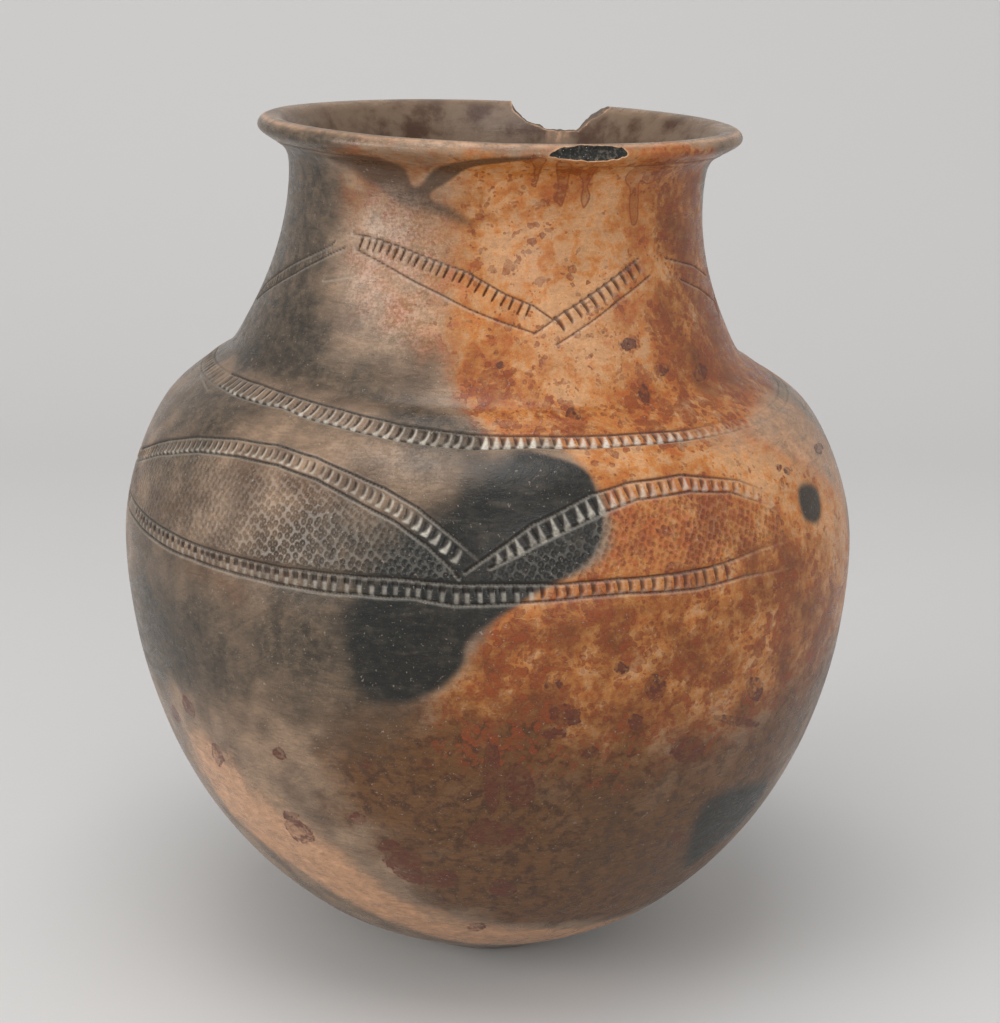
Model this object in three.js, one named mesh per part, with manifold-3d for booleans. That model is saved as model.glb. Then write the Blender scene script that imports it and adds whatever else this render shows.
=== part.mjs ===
// Pottery vase: a hand-built, burnished pot with a round bottom, a wide belly, a tall tapered neck and a
// small everted lip. The potter pressed a base bowl, then raised the wall in flattened coils of clay, each
// luted to the one below by a bevelled join, and turned the last coil outwards as the rim.
// Every coil is a closed ring of its own. Neighbours share the vertices of the bevel between them.
// Millimetres, +Z up. The origin is on the ground, under the middle of the pot.

import * as THREE from 'three';
import { mergeVertices } from 'three/addons/utils/BufferGeometryUtils.js';
import Module from 'manifold-3d';

// The outer face runs from the edge of the resting flat up to the crest of the lip and down inside it.
// The resting flat, worn level under the bowl.
const FLAT_RADIUS = 34;

// The belly is the widest place. The wall is half an ellipse of one height below it and of another above.
const BELLY = { radius: 147.5, height: 172, below: 174, above: 120 };

// The ellipse is drawn from its first to its last turn, in degrees up from the belly.
const FIRST_TURN = -70;
const LAST_TURN = 28;
const TURN_STEP = 14;

// The hollow where the shoulder turns up into the neck.
const HOLLOW = { radius: 111.5, height: 243.5 };

// The neck narrows in a parabola from its foot to the throat.
const FOOT = { radius: 102.5, height: 250 };
const THROAT = { radius: 82, height: 315 };
const NECK_TOP = 320;
const NECK_STEP = 14;

// The lip: out from the neck, over the crest and down inside.
const LIP = [
  [84, 327], [89.5, 331], [94, 334], [95, 336.5], [93.5, 339], [90.5, 340], [86, 339], [81.5, 334.5],
  [77.5, 329],
];

// A hand-built pot is never quite round or level. Lean is how far its axis has wandered to the right:
// a little at the base, less at the shoulder, and from the hollow more and more up to the lip.
const LEAN = { base: 1.2, shoulder: 0.5, hollow: -1, lip: 5.8 };

// Tilt is how far the level sinks to the right, per mm from the axis. It grows from nothing to the lip's.
const LIP_TILT = 0.033;
const TILT_POWER = 1.4;
const LIP_HEIGHT = 336;

// Wall thickness, from the heavy base to the thin top of the neck.
const BASE_WALL = 11;
const NECK_WALL = 7;

// The coils, from the ground up, each with the height of its lower outer edge.
const COILS = [
  { name: 'base_bowl', from: 0, colour: 0x8a6547 },
  { name: 'lower_wall_coil_1', from: 38, colour: 0x94704d },
  { name: 'lower_wall_coil_2', from: 75, colour: 0x7e6a55 },
  { name: 'belly_coil_1', from: 112, colour: 0x86664a },
  { name: 'belly_coil_2', from: 148, colour: 0x9b6437 },
  { name: 'belly_coil_3', from: 181, colour: 0x7d5c42 },
  { name: 'shoulder_coil_1', from: 207, colour: 0x6a5548 },
  { name: 'shoulder_coil_2', from: 228, colour: 0x8c6748 },
  { name: 'neck_coil_1', from: 247, colour: 0xa06a38 },
  { name: 'neck_coil_2', from: 269, colour: 0x9a7353 },
  { name: 'neck_coil_3', from: 292, colour: 0xab7c5c },
  { name: 'rim_coil', from: 315, colour: 0x9c7253 },
];

// The bevel of a join: its inner edge lies this far up the wall from its outer edge.
const BEVEL = 6;

// The height of the inside floor at its middle.
const FLOOR_RISE = 10.5;

// The piece broken out of the back of the rim, as the outline that is missing, seen from the front.
const BREAK_OUTLINE = [
  [9.5, 350], [10, 338], [12.5, 334.5], [16, 331.5], [22, 330], [25.5, 328], [38, 328], [41, 330.5],
  [44.5, 334], [54, 339.5], [57, 350],
];
const BREAK_NEAR = 45;
const BREAK_FAR = 110;

// The chip in the front of the lip: a scoop, wider than it is high, that bites 3.5 mm into the lip.
const CHIP = { x: 35, y: -92, z: 336.5, width: 39, depth: 10.5, height: 11, turn: 0.31 };

// Fineness: faces round the pot, and rows up each coil's outer and inner faces.
const ROUND = 56;
const OUTER_ROWS = 3;
const INNER_ROWS = 2;
const LIP_ROWS = 14;
const BOWL_ROWS = 4;

// The radius and height of each point that the outer face is drawn through.
function outline() {
  const points = [new THREE.Vector2(FLAT_RADIUS, 0)];
  for (let degrees = FIRST_TURN; degrees <= LAST_TURN; degrees += TURN_STEP) {
    const turn = THREE.MathUtils.degToRad(degrees);
    const reach = degrees < 0 ? BELLY.below : BELLY.above;
    points.push(new THREE.Vector2(BELLY.radius * Math.cos(turn), BELLY.height + reach * Math.sin(turn)));
  }
  points.push(new THREE.Vector2(HOLLOW.radius, HOLLOW.height));
  for (let height = FOOT.height; height <= NECK_TOP; height += NECK_STEP) {
    const share = (THROAT.height - height) / (THROAT.height - FOOT.height);
    points.push(new THREE.Vector2(THROAT.radius + (FOOT.radius - THROAT.radius) * share ** 2, height));
  }
  LIP.forEach(([radius, height]) => points.push(new THREE.Vector2(radius, height)));
  return points;
}

// The lean and the tilt at a height.
function swayAt(height) {
  const tilt = -LIP_TILT * (height / LIP_HEIGHT) ** TILT_POWER;
  if (height < HOLLOW.height) {
    return new THREE.Vector2(THREE.MathUtils.lerp(LEAN.base, LEAN.shoulder, height / HOLLOW.height), tilt);
  }
  const up = (height - HOLLOW.height) / (LIP_HEIGHT - HOLLOW.height);
  return new THREE.Vector2(THREE.MathUtils.lerp(LEAN.hollow, LEAN.lip, up), tilt);
}

const drawn = outline();
const shape = new THREE.SplineCurve(drawn);
const sway = new THREE.SplineCurve(drawn.map((point) => swayAt(point.y)));
shape.arcLengthDivisions = 800;
const highest = Math.max(...drawn.map((point) => point.y));
const CREST_T = drawn.findIndex((point) => point.y === highest) / (drawn.length - 1);
const LENGTH = shape.getLength();

// Where along the outer face it first reaches a height, as a share of its length.
function shareAtHeight(height) {
  let low = 0;
  let high = shareAtT(CREST_T);
  for (let i = 0; i < 50; i += 1) {
    const middle = (low + high) / 2;
    if (shape.getPointAt(middle).y < height) low = middle;
    else high = middle;
  }
  return low;
}

// The share of the length that lies before a parameter of the curve.
function shareAtT(t) {
  const lengths = shape.getLengths();
  const place = t * (lengths.length - 1);
  const before = Math.floor(place);
  const after = Math.min(before + 1, lengths.length - 1);
  return THREE.MathUtils.lerp(lengths[before], lengths[after], place - before) / LENGTH;
}

// One turn of the outer or inner face, as a radius, a height, a lean and a tilt.
function turnAt(share, inside) {
  const t = shape.getUtoTmapping(share);
  const point = shape.getPoint(t);
  const { x: lean, y: tilt } = sway.getPoint(t);
  if (inside) {
    const tangent = shape.getTangent(t);
    const up = THREE.MathUtils.clamp(point.y / NECK_TOP, 0, 1);
    const wall = THREE.MathUtils.lerp(BASE_WALL, NECK_WALL, Math.sqrt(up));
    point.x -= wall * tangent.y;
    point.y += wall * tangent.x;
  }
  return { radius: point.x, height: point.y, lean, tilt, inside };
}

// Turns spaced evenly from one share of the length to another, both ends included.
function turnsBetween(from, to, rows, inside) {
  const turns = [];
  for (let row = 0; row <= rows; row += 1) {
    turns.push(turnAt(THREE.MathUtils.lerp(from, to, row / rows), inside));
  }
  return turns;
}

// The vertices of one turn, from the back of the pot round to the right, the front and the left.
function pushTurn(positions, turn) {
  for (let i = 0; i < ROUND; i += 1) {
    const angle = (2 * Math.PI * i) / ROUND;
    const across = turn.radius * Math.sin(angle);
    positions.push(turn.lean + across, turn.radius * Math.cos(angle), turn.height + turn.tilt * across);
  }
}

// The band of faces between two turns. A band is split one way or the other: at a join the coil below
// comes in over the bevel and the coil above goes out, and both must have the very same faces there.
function pushBand(faces, first, second, goesOut) {
  for (let i = 0; i < ROUND; i += 1) {
    const next = (i + 1) % ROUND;
    const a = first + i;
    const b = first + next;
    const c = second + next;
    const d = second + i;
    if (goesOut) faces.push(a, b, c, a, c, d);
    else faces.push(a, b, d, b, c, d);
  }
}

function geometryOf(positions, faces) {
  const geometry = new THREE.BufferGeometry();
  geometry.setAttribute('position', new THREE.Float32BufferAttribute(positions, 3));
  geometry.setIndex(faces);
  return geometry;
}

// A coil: its turns follow one another round its section and meet again at the first.
function coilGeometry(turns) {
  const positions = [];
  const faces = [];
  turns.forEach((turn) => pushTurn(positions, turn));
  turns.forEach((turn, i) => {
    const next = (i + 1) % turns.length;
    const goesOut = turn.inside && !turns[next].inside;
    pushBand(faces, next * ROUND, i * ROUND, goesOut);
  });
  return geometryOf(positions, faces);
}

// The base bowl: its turns run from the resting flat out, up, over the bevel and back in to the floor.
function bowlGeometry(turns) {
  const positions = [];
  const faces = [];
  turns.forEach((turn) => pushTurn(positions, turn));
  for (let i = 0; i + 1 < turns.length; i += 1) {
    pushBand(faces, (i + 1) * ROUND, i * ROUND, false);
  }
  const under = positions.length / 3;
  positions.push(turns[0].lean, 0, 0);
  const floor = under + 1;
  positions.push(turns[turns.length - 1].lean, 0, FLOOR_RISE);
  const last = (turns.length - 1) * ROUND;
  for (let i = 0; i < ROUND; i += 1) {
    const next = (i + 1) % ROUND;
    faces.push(under, i, next);
    faces.push(floor, last + next, last + i);
  }
  return geometryOf(positions, faces);
}

// The turns round each coil's section.
const shares = COILS.map((coil) => (coil.from === 0 ? 0 : shareAtHeight(coil.from)));
const bevelShare = BEVEL / LENGTH;

function sectionOf(index) {
  const from = shares[index];
  if (index === COILS.length - 1) {
    return [...turnsBetween(from, 1, LIP_ROWS, false), turnAt(from + bevelShare, true)];
  }
  const to = shares[index + 1];
  if (index === 0) {
    return [...turnsBetween(0, to, BOWL_ROWS, false), ...turnsBetween(to + bevelShare, 0, BOWL_ROWS, true)];
  }
  return [
    ...turnsBetween(from, to, OUTER_ROWS, false),
    ...turnsBetween(to + bevelShare, from + bevelShare, INNER_ROWS, true),
  ];
}

const wasm = await Module();
wasm.setup();

function solidOf(geometry) {
  const bare = geometry.clone();
  bare.deleteAttribute('normal');
  bare.deleteAttribute('uv');
  const merged = mergeVertices(bare, 1e-4);
  const mesh = new wasm.Mesh({
    numProp: 3,
    vertProperties: new Float32Array(merged.attributes.position.array),
    triVerts: new Uint32Array(merged.index.array),
  });
  return new wasm.Manifold(mesh);
}

function geometryFrom(solid) {
  const mesh = solid.getMesh();
  return geometryOf(Array.from(mesh.vertProperties), Array.from(mesh.triVerts));
}

// The missing piece of the back rim, as a block through the wall with the outline of the break.
function breakGeometry() {
  const outline = new THREE.Shape(BREAK_OUTLINE.map(([x, z]) => new THREE.Vector2(x, z)));
  const block = new THREE.ExtrudeGeometry(outline, { depth: BREAK_FAR - BREAK_NEAR, bevelEnabled: false });
  block.rotateX(Math.PI / 2);
  block.translate(0, BREAK_FAR, 0);
  return block;
}

// The scoop of the chip.
function chipGeometry() {
  const scoop = new THREE.IcosahedronGeometry(0.5, 2);
  scoop.scale(CHIP.width, CHIP.depth, CHIP.height);
  scoop.rotateZ(CHIP.turn);
  scoop.translate(CHIP.x, CHIP.y, CHIP.z);
  return scoop;
}

function damagedRim(geometry) {
  const whole = solidOf(geometry);
  const broken = whole.subtract(solidOf(breakGeometry())).subtract(solidOf(chipGeometry()));
  return geometryFrom(broken);
}

const vase = new THREE.Group();
COILS.forEach((coil, index) => {
  const turns = sectionOf(index);
  let geometry = index === 0 ? bowlGeometry(turns) : coilGeometry(turns);
  if (coil.name === 'rim_coil') geometry = damagedRim(geometry);
  const clay = new THREE.MeshStandardMaterial({ color: coil.colour, roughness: 0.55, metalness: 0 });
  const mesh = new THREE.Mesh(geometry, clay);
  mesh.name = coil.name;
  vase.add(mesh);
});

// The widest row decides where the middle is.
const middle = new THREE.Box3().setFromObject(vase).getCenter(new THREE.Vector3());
vase.children.forEach((mesh) => mesh.geometry.translate(-middle.x, -middle.y, 0));

export default vase;
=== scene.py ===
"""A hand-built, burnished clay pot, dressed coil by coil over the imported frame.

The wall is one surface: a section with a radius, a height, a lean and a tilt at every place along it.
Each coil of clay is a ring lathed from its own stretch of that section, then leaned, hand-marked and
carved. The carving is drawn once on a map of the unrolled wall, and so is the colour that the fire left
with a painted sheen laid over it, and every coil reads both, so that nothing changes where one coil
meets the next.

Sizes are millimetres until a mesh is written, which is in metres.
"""

import logging
import math
from contextlib import contextmanager
from dataclasses import dataclass, replace
from enum import Enum
from typing import Callable, Iterator, Optional, Sequence

import bpy
import numpy as np
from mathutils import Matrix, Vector
from mathutils.kdtree import KDTree


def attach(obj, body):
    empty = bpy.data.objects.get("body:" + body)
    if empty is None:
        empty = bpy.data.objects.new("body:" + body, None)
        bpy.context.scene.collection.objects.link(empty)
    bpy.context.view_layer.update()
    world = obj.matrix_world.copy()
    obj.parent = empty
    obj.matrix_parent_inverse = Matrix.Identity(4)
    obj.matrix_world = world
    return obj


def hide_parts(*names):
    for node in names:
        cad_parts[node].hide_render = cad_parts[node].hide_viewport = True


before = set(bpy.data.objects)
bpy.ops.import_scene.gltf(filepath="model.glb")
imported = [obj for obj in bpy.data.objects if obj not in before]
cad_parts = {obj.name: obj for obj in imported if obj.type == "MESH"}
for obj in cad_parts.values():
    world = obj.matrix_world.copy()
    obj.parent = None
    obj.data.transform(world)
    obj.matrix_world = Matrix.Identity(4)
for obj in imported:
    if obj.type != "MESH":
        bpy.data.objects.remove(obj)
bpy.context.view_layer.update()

LOG = logging.getLogger("pot")
MM = 0.001
TURN = 2 * math.pi
OUTER_DEPTH = 0.01
MERGE = 1e-6
TINY = 1e-9

Array = np.ndarray
Piece = bpy.types.Object
Socket = bpy.types.NodeSocket
Points = Sequence[tuple[float, float]]


def linear(red: int, green: int, blue: int) -> tuple[float, float, float, float]:
    """A colour as a screen shows it, 0 to 255, as Blender's linear colour."""
    parts = []
    for level in (red, green, blue):
        share = level / 255
        parts.append(share / 12.92 if share < 0.04045 else ((share + 0.055) / 1.055) ** 2.4)
    return (*parts, 1.0)


def smooth_step(low: float, high: float, value: Array) -> Array:
    """0 below low, 1 above high, and an even S between them."""
    share = np.clip((value - low) / (high - low), 0, 1)
    return share * share * (3 - 2 * share)


def curve(before: Array, start: Array, end: Array, after: Array, share: Array) -> Array:
    """A smooth curve through points.

    Args:
        before: the point before each start.
        start: where each stretch starts.
        end: where it ends.
        after: the point after that.
        share: how far along the stretch to go, from 0 to 1.

    Returns:
        The places on the curve.
    """
    leave, arrive = (end - before) * 0.5, (after - start) * 0.5
    cubic = 2 * start - 2 * end + leave + arrive
    square = -3 * start + 3 * end - 2 * leave - arrive
    return cubic * share**3 + square * share**2 + leave * share + start


class Lattice:
    """Smooth random values over space, the same on every run."""

    SIDE = 32

    def __init__(self, seed: int) -> None:
        """Args:
        seed: which pattern.
        """
        self.values = np.random.default_rng(seed).random((self.SIDE,) * 3).astype(np.float32)

    def at(self, places: Array, scale: float) -> Array:
        """The value at each place.

        Args:
            places: points in millimetres, one per row.
            scale: the size of one lump, in millimetres.

        Returns:
            Values from -1 to 1.
        """
        spot = places / scale
        cell = np.floor(spot).astype(np.int64)
        part = spot - cell
        part = part * part * (3 - 2 * part)
        total = np.zeros(len(places), np.float32)
        for corner in range(8):
            step = np.array([corner & 1, corner >> 1 & 1, corner >> 2 & 1])
            weight = np.prod(np.where(step == 1, part, 1 - part), axis=1)
            index = (cell + step) % self.SIDE
            total += weight * self.values[index[:, 0], index[:, 1], index[:, 2]]
        return total * 2 - 1


class Section:
    """The pot's section: a bowl, a shoulder, a neck and a lip, as one smooth line."""

    FLAT_RADIUS = 34.0
    BELLY_RADIUS = 147.5
    BELLY_HEIGHT = 172.0
    BELOW = 174.0
    ABOVE = 120.0
    TURNS = range(-70, 29, 14)
    HOLLOW_RADIUS = 111.5
    HOLLOW_HEIGHT = 243.5
    FOOT_RADIUS = 102.5
    FOOT_HEIGHT = 250
    THROAT_RADIUS = 82.0
    THROAT_HEIGHT = 315
    NECK_TOP = 320
    NECK_STEP = 14
    LIP = ((84.0, 327.0), (89.5, 331.0), (94.0, 334.0), (95.0, 336.5), (93.5, 339.0), (90.5, 340.0),
           (86.0, 339.0), (81.5, 334.5), (77.5, 329.0))
    BASE_LEAN = 1.2
    SHOULDER_LEAN = 0.5
    HOLLOW_LEAN = -1.0
    LIP_LEAN = 5.8
    LIP_HEIGHT = 336.0
    LIP_TILT = 0.033
    TILT_POWER = 1.4
    BASE_WALL = 11.0
    NECK_WALL = 7.0
    STEPS = 6000

    def __init__(self) -> None:
        """Measures the line once."""
        self.rows = self.drawn()
        last = len(self.rows) - 1
        place = np.linspace(0, last, self.STEPS + 1)
        self.line = self.spline(place)
        gaps = np.hypot(np.diff(self.line[:, 0]), np.diff(self.line[:, 1]))
        self.run = np.concatenate([[0], np.cumsum(gaps)])
        self.length = float(self.run[-1])
        tangent = np.gradient(self.line[:, :2], axis=0)
        tangent /= np.linalg.norm(tangent, axis=1)[:, None]
        self.out = np.stack([tangent[:, 1], -tangent[:, 0]], 1)
        crest = int(np.argmax(self.rows[:, 1]))
        self.crest_run = float(np.interp(crest, place, self.run))

    def drawn(self) -> Array:
        """The radius, height, lean and tilt of each point that the line is drawn through."""
        points = [(self.FLAT_RADIUS, 0.0)]
        for degrees in self.TURNS:
            turn = math.radians(degrees)
            reach = self.BELOW if degrees < 0 else self.ABOVE
            points.append((self.BELLY_RADIUS * math.cos(turn), self.BELLY_HEIGHT + reach * math.sin(turn)))
        points.append((self.HOLLOW_RADIUS, self.HOLLOW_HEIGHT))
        for height in range(self.FOOT_HEIGHT, self.NECK_TOP + 1, self.NECK_STEP):
            share = (self.THROAT_HEIGHT - height) / (self.THROAT_HEIGHT - self.FOOT_HEIGHT)
            points.append((self.THROAT_RADIUS + (self.FOOT_RADIUS - self.THROAT_RADIUS) * share**2, height))
        points.extend(self.LIP)
        return np.array([(radius, height, *self.sway(height)) for radius, height in points])

    def sway(self, height: float) -> tuple[float, float]:
        """How far the axis has wandered to the right at a height, and how far the level sinks, per mm."""
        tilt = -self.LIP_TILT * (height / self.LIP_HEIGHT) ** self.TILT_POWER
        if height < self.HOLLOW_HEIGHT:
            gain = (self.SHOULDER_LEAN - self.BASE_LEAN) * height / self.HOLLOW_HEIGHT
            return self.BASE_LEAN + gain, tilt
        up = (height - self.HOLLOW_HEIGHT) / (self.LIP_HEIGHT - self.HOLLOW_HEIGHT)
        return self.HOLLOW_LEAN + (self.LIP_LEAN - self.HOLLOW_LEAN) * up, tilt

    def spline(self, place: Array) -> Array:
        """The line at each place.

        Args:
            place: station numbers, with fractions.

        Returns:
            Radius, height, lean and tilt, one row for each place.
        """
        last = len(self.rows) - 1
        first = np.clip(np.floor(place).astype(int), 0, last - 1)
        stations = (np.maximum(first - 1, 0), first, first + 1, np.minimum(first + 2, last))
        return curve(*(self.rows[station] for station in stations), (place - first)[:, None])

    def column(self, values: Array, run: Array) -> Array:
        """One measured column of the line, read at each run along it."""
        return np.interp(run, self.run, values)

    def run_at(self, height: float) -> float:
        """How far along the line its outer face first reaches a height."""
        rising = self.run <= self.crest_run
        return float(np.interp(height, self.line[rising, 1], self.run[rising]))

    def radius(self, run: Array) -> Array:
        """The outer radius at each run."""
        return self.column(self.line[:, 0], run)

    def wall(self, run: Array) -> Array:
        """The thickness of the wall at each run."""
        rise = np.clip(self.column(self.line[:, 1], run) / self.NECK_TOP, 0, 1)
        return self.BASE_WALL + (self.NECK_WALL - self.BASE_WALL) * np.sqrt(rise)

    def sunk(self, run: Array, sink: Array) -> tuple[Array, ...]:
        """The radius and the height at each run, some way below the outer face."""
        return tuple(self.column(self.line[:, side], run) - sink * self.column(self.out[:, side], run)
                     for side in (0, 1))

    def place(self, run: Array, angle: Array, sink: Array) -> Array:
        """Points of the wall.

        Args:
            run: how far along the section, in millimetres.
            angle: how far round from the front, to the right, in radians.
            sink: how far below the outer face.

        Returns:
            Points in millimetres, one per row.
        """
        radius, height = self.sunk(run, sink)
        across = radius * np.sin(angle)
        lean = self.column(self.line[:, 2], run)
        tilt = self.column(self.line[:, 3], run)
        return np.stack([lean + across, -radius * np.cos(angle), height + tilt * across], 1)


@dataclass(frozen=True)
class Viewpoint:
    """Where the photograph was taken from. The frame is 1000 by 1023 pixels."""

    right: float = 4.9
    back: float = 844.7
    up: float = 414.6
    pitch: float = math.radians(15.5)
    focal: float = 2131.0
    middle_x: float = 500.0
    middle_y: float = 511.5
    lens: float = 50.0
    long_side: float = 1023.0

    def pixels(self, points: Array) -> Array:
        """Where points fall in the photograph.

        Args:
            points: millimetres, one per row.

        Returns:
            Pixels, one row for each point.
        """
        x = points[:, 0] - self.right
        y = points[:, 1] + self.back
        z = points[:, 2] - self.up
        depth = y * math.cos(self.pitch) - z * math.sin(self.pitch)
        rise = y * math.sin(self.pitch) + z * math.cos(self.pitch)
        across = self.middle_x + self.focal * x / depth
        down = self.middle_y - self.focal * rise / depth
        return np.stack([across, down], 1)

    def make(self) -> None:
        """Makes the scene's camera."""
        data = bpy.data.cameras.new("camera")
        data.lens = self.lens
        data.sensor_width = self.lens * self.long_side / self.focal
        data.clip_end = 100
        camera = bpy.data.objects.new("camera", data)
        bpy.context.scene.collection.objects.link(camera)
        camera.location = (self.right * MM, -self.back * MM, self.up * MM)
        camera.rotation_euler = (math.pi / 2 - self.pitch, 0, 0)
        bpy.context.scene.camera = camera


class Wall:
    """The outer face, unrolled: places on it are (angle from the front, run along the section)."""

    COARSE_RUNS = 420
    COARSE_ANGLES = 361
    WIDEST_VIEW = 88
    OUT_OF_SIGHT = 1e6
    ROUNDS = 6
    NUDGE = (1e-4, 1e-2)
    MOST = np.array([0.02, 2.0])

    def __init__(self, section: Section, view: Viewpoint) -> None:
        """Args:
        section: the pot's section.
        view: the viewpoint that the drawing was read from.
        """
        self.section = section
        self.view = view
        runs = np.linspace(0, section.crest_run, self.COARSE_RUNS)
        angles = np.radians(np.linspace(-self.WIDEST_VIEW, self.WIDEST_VIEW, self.COARSE_ANGLES))
        grid_run, grid_angle = np.meshgrid(runs, angles, indexing="ij")
        self.coarse = np.stack([grid_angle.ravel(), grid_run.ravel()], 1)
        points = self.points(self.coarse)
        self.coarse_pixels = view.pixels(points)
        eye = np.array([view.right, -view.back, view.up])
        facing = self.normals(self.coarse) * (eye - points)
        hidden = facing.sum(1) < 0
        self.coarse_pixels[hidden] = self.OUT_OF_SIGHT

    def points(self, places: Array) -> Array:
        """Unrolled places as points in millimetres."""
        return self.section.place(places[:, 1], places[:, 0], np.zeros(len(places)))

    def normals(self, places: Array) -> Array:
        """The outward directions at unrolled places."""
        out_r = self.section.column(self.section.out[:, 0], places[:, 1])
        out_z = self.section.column(self.section.out[:, 1], places[:, 1])
        sine, cosine = np.sin(places[:, 0]), np.cos(places[:, 0])
        return np.stack([out_r * sine, -out_r * cosine, out_z], 1)

    def read(self, pixels: Points) -> Array:
        """Unrolls places that were read off the photograph.

        Args:
            pixels: places in the 1000 by 1023 frame.

        Returns:
            An angle and a run for each.
        """
        target = np.array(pixels, float)
        gap = self.coarse_pixels[None] - target[:, None]
        found = self.coarse[np.argmin((gap**2).sum(2), axis=1)].copy()
        turn, rise = self.NUDGE
        for _ in range(self.ROUNDS):
            here = self.view.pixels(self.points(found))
            by_angle = self.view.pixels(self.points(found + [turn, 0])) - here
            by_run = self.view.pixels(self.points(found + [0, rise])) - here
            slope = np.stack([by_angle / turn, by_run / rise], 2)
            miss = target - here
            step = np.linalg.solve(slope + np.eye(2) * TINY, miss[:, :, None])[:, :, 0]
            found += np.clip(step, -self.MOST, self.MOST)
        return found


class Grid:
    """An even grid over the unrolled wall. Its columns go all the way round."""

    SLIMMEST = 20.0

    def __init__(self, wall: Wall, cell: float) -> None:
        """Args:
        wall: what is unrolled.
        cell: the size of a cell at the belly, in millimetres.
        """
        self.wall = wall
        self.widest = float(wall.section.line[:, 0].max())
        self.columns = int(round(TURN * self.widest / cell))
        self.rows = int(math.ceil(wall.section.length / cell)) + 1
        self.cell = cell
        self.turn_cell = TURN / self.columns
        self.runs = np.arange(self.rows) * cell
        self.radii = wall.section.radius(self.runs)

    def blank(self) -> Array:
        """An empty layer."""
        return np.zeros((self.rows, self.columns), np.float32)

    def window(self, place: Array, reach: float) -> tuple[Array, ...]:
        """The cells near some places.

        Args:
            place: angles and runs, one row each.
            reach: how far round them to go, in millimetres.

        Returns:
            Row numbers, column numbers, and each cell's angle and run, as grids.
        """
        low = max(int((place[:, 1].min() - reach) / self.cell), 0)
        high = min(int((place[:, 1].max() + reach) / self.cell) + 2, self.rows)
        rows = np.arange(low, max(high, low + 1))
        slim = max(float(self.radii[rows].min()), self.SLIMMEST)
        margin = reach / slim
        first = int(math.floor((place[:, 0].min() - margin) / self.turn_cell))
        last = int(math.ceil((place[:, 0].max() + margin) / self.turn_cell)) + 1
        columns = np.arange(first, min(last, first + self.columns))
        angle, run = np.meshgrid(columns * self.turn_cell, self.runs[rows])
        return rows[:, None], columns[None, :] % self.columns, angle, run

    def flat(self, angle: Array, run: Array, about: Array) -> tuple[Array, Array]:
        """Cells as millimetres to the right of and above a place."""
        radius = self.wall.section.radius(run)
        return (angle - about[0]) * radius, run - about[1]

    def sample(self, layer: Array, angle: Array, run: Array) -> Array:
        """A layer's value at any places, between its cells."""
        across = np.mod(angle, TURN) / self.turn_cell
        along = np.clip(run / self.cell, 0, self.rows - 1.001)
        left, low = np.floor(across).astype(int), np.floor(along).astype(int)
        share, rise = across - left, along - low
        left, right = left % self.columns, (left + 1) % self.columns
        below = layer[low, left] * (1 - share) + layer[low, right] * share
        above = layer[low + 1, left] * (1 - share) + layer[low + 1, right] * share
        return below * (1 - rise) + above * rise


class Fill(Enum):
    """What is cut over the net in a carved field: the turn of its strokes, and their depth."""

    NET = (0.0, 0.0)
    UPRIGHT = (math.radians(-18), 0.22)
    SLANTED = (math.radians(52), 0.2)


@dataclass(frozen=True)
class Tool:
    """The point that a line was cut with, in millimetres, and how pale the line's lower lip is."""

    width: float = 0.66
    depth: float = 0.78
    wander: float = 0.2
    rim: float = 0.22


@dataclass(frozen=True)
class Notch:
    """A notch between the two lines of a band, in millimetres.

    length is the most that it may be. slant is how far its foot lies to the right of its top, beyond
    square to the band. How pale it is stands for pale earth that is left in it and a painted highlight on
    its lit faces, and wedge is how much of that lies below the diagonal and not along the edge. square is
    how far the notch turns with a sloping band, drop the share of spare height that is left above it, and
    hole the share of it that is a deep square hole.
    """

    pitch: float = 4.4
    width: float = 1.5
    depth: float = 0.8
    slant: float = 0.0
    bow: float = 0.3
    inset: float = 0.8
    length: float = 99.0
    chalk_and_highlight: float = 0.0
    wedge: float = 0.0
    square: float = 1.0
    drop: float = 0.0
    hole: float = 0.0


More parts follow.
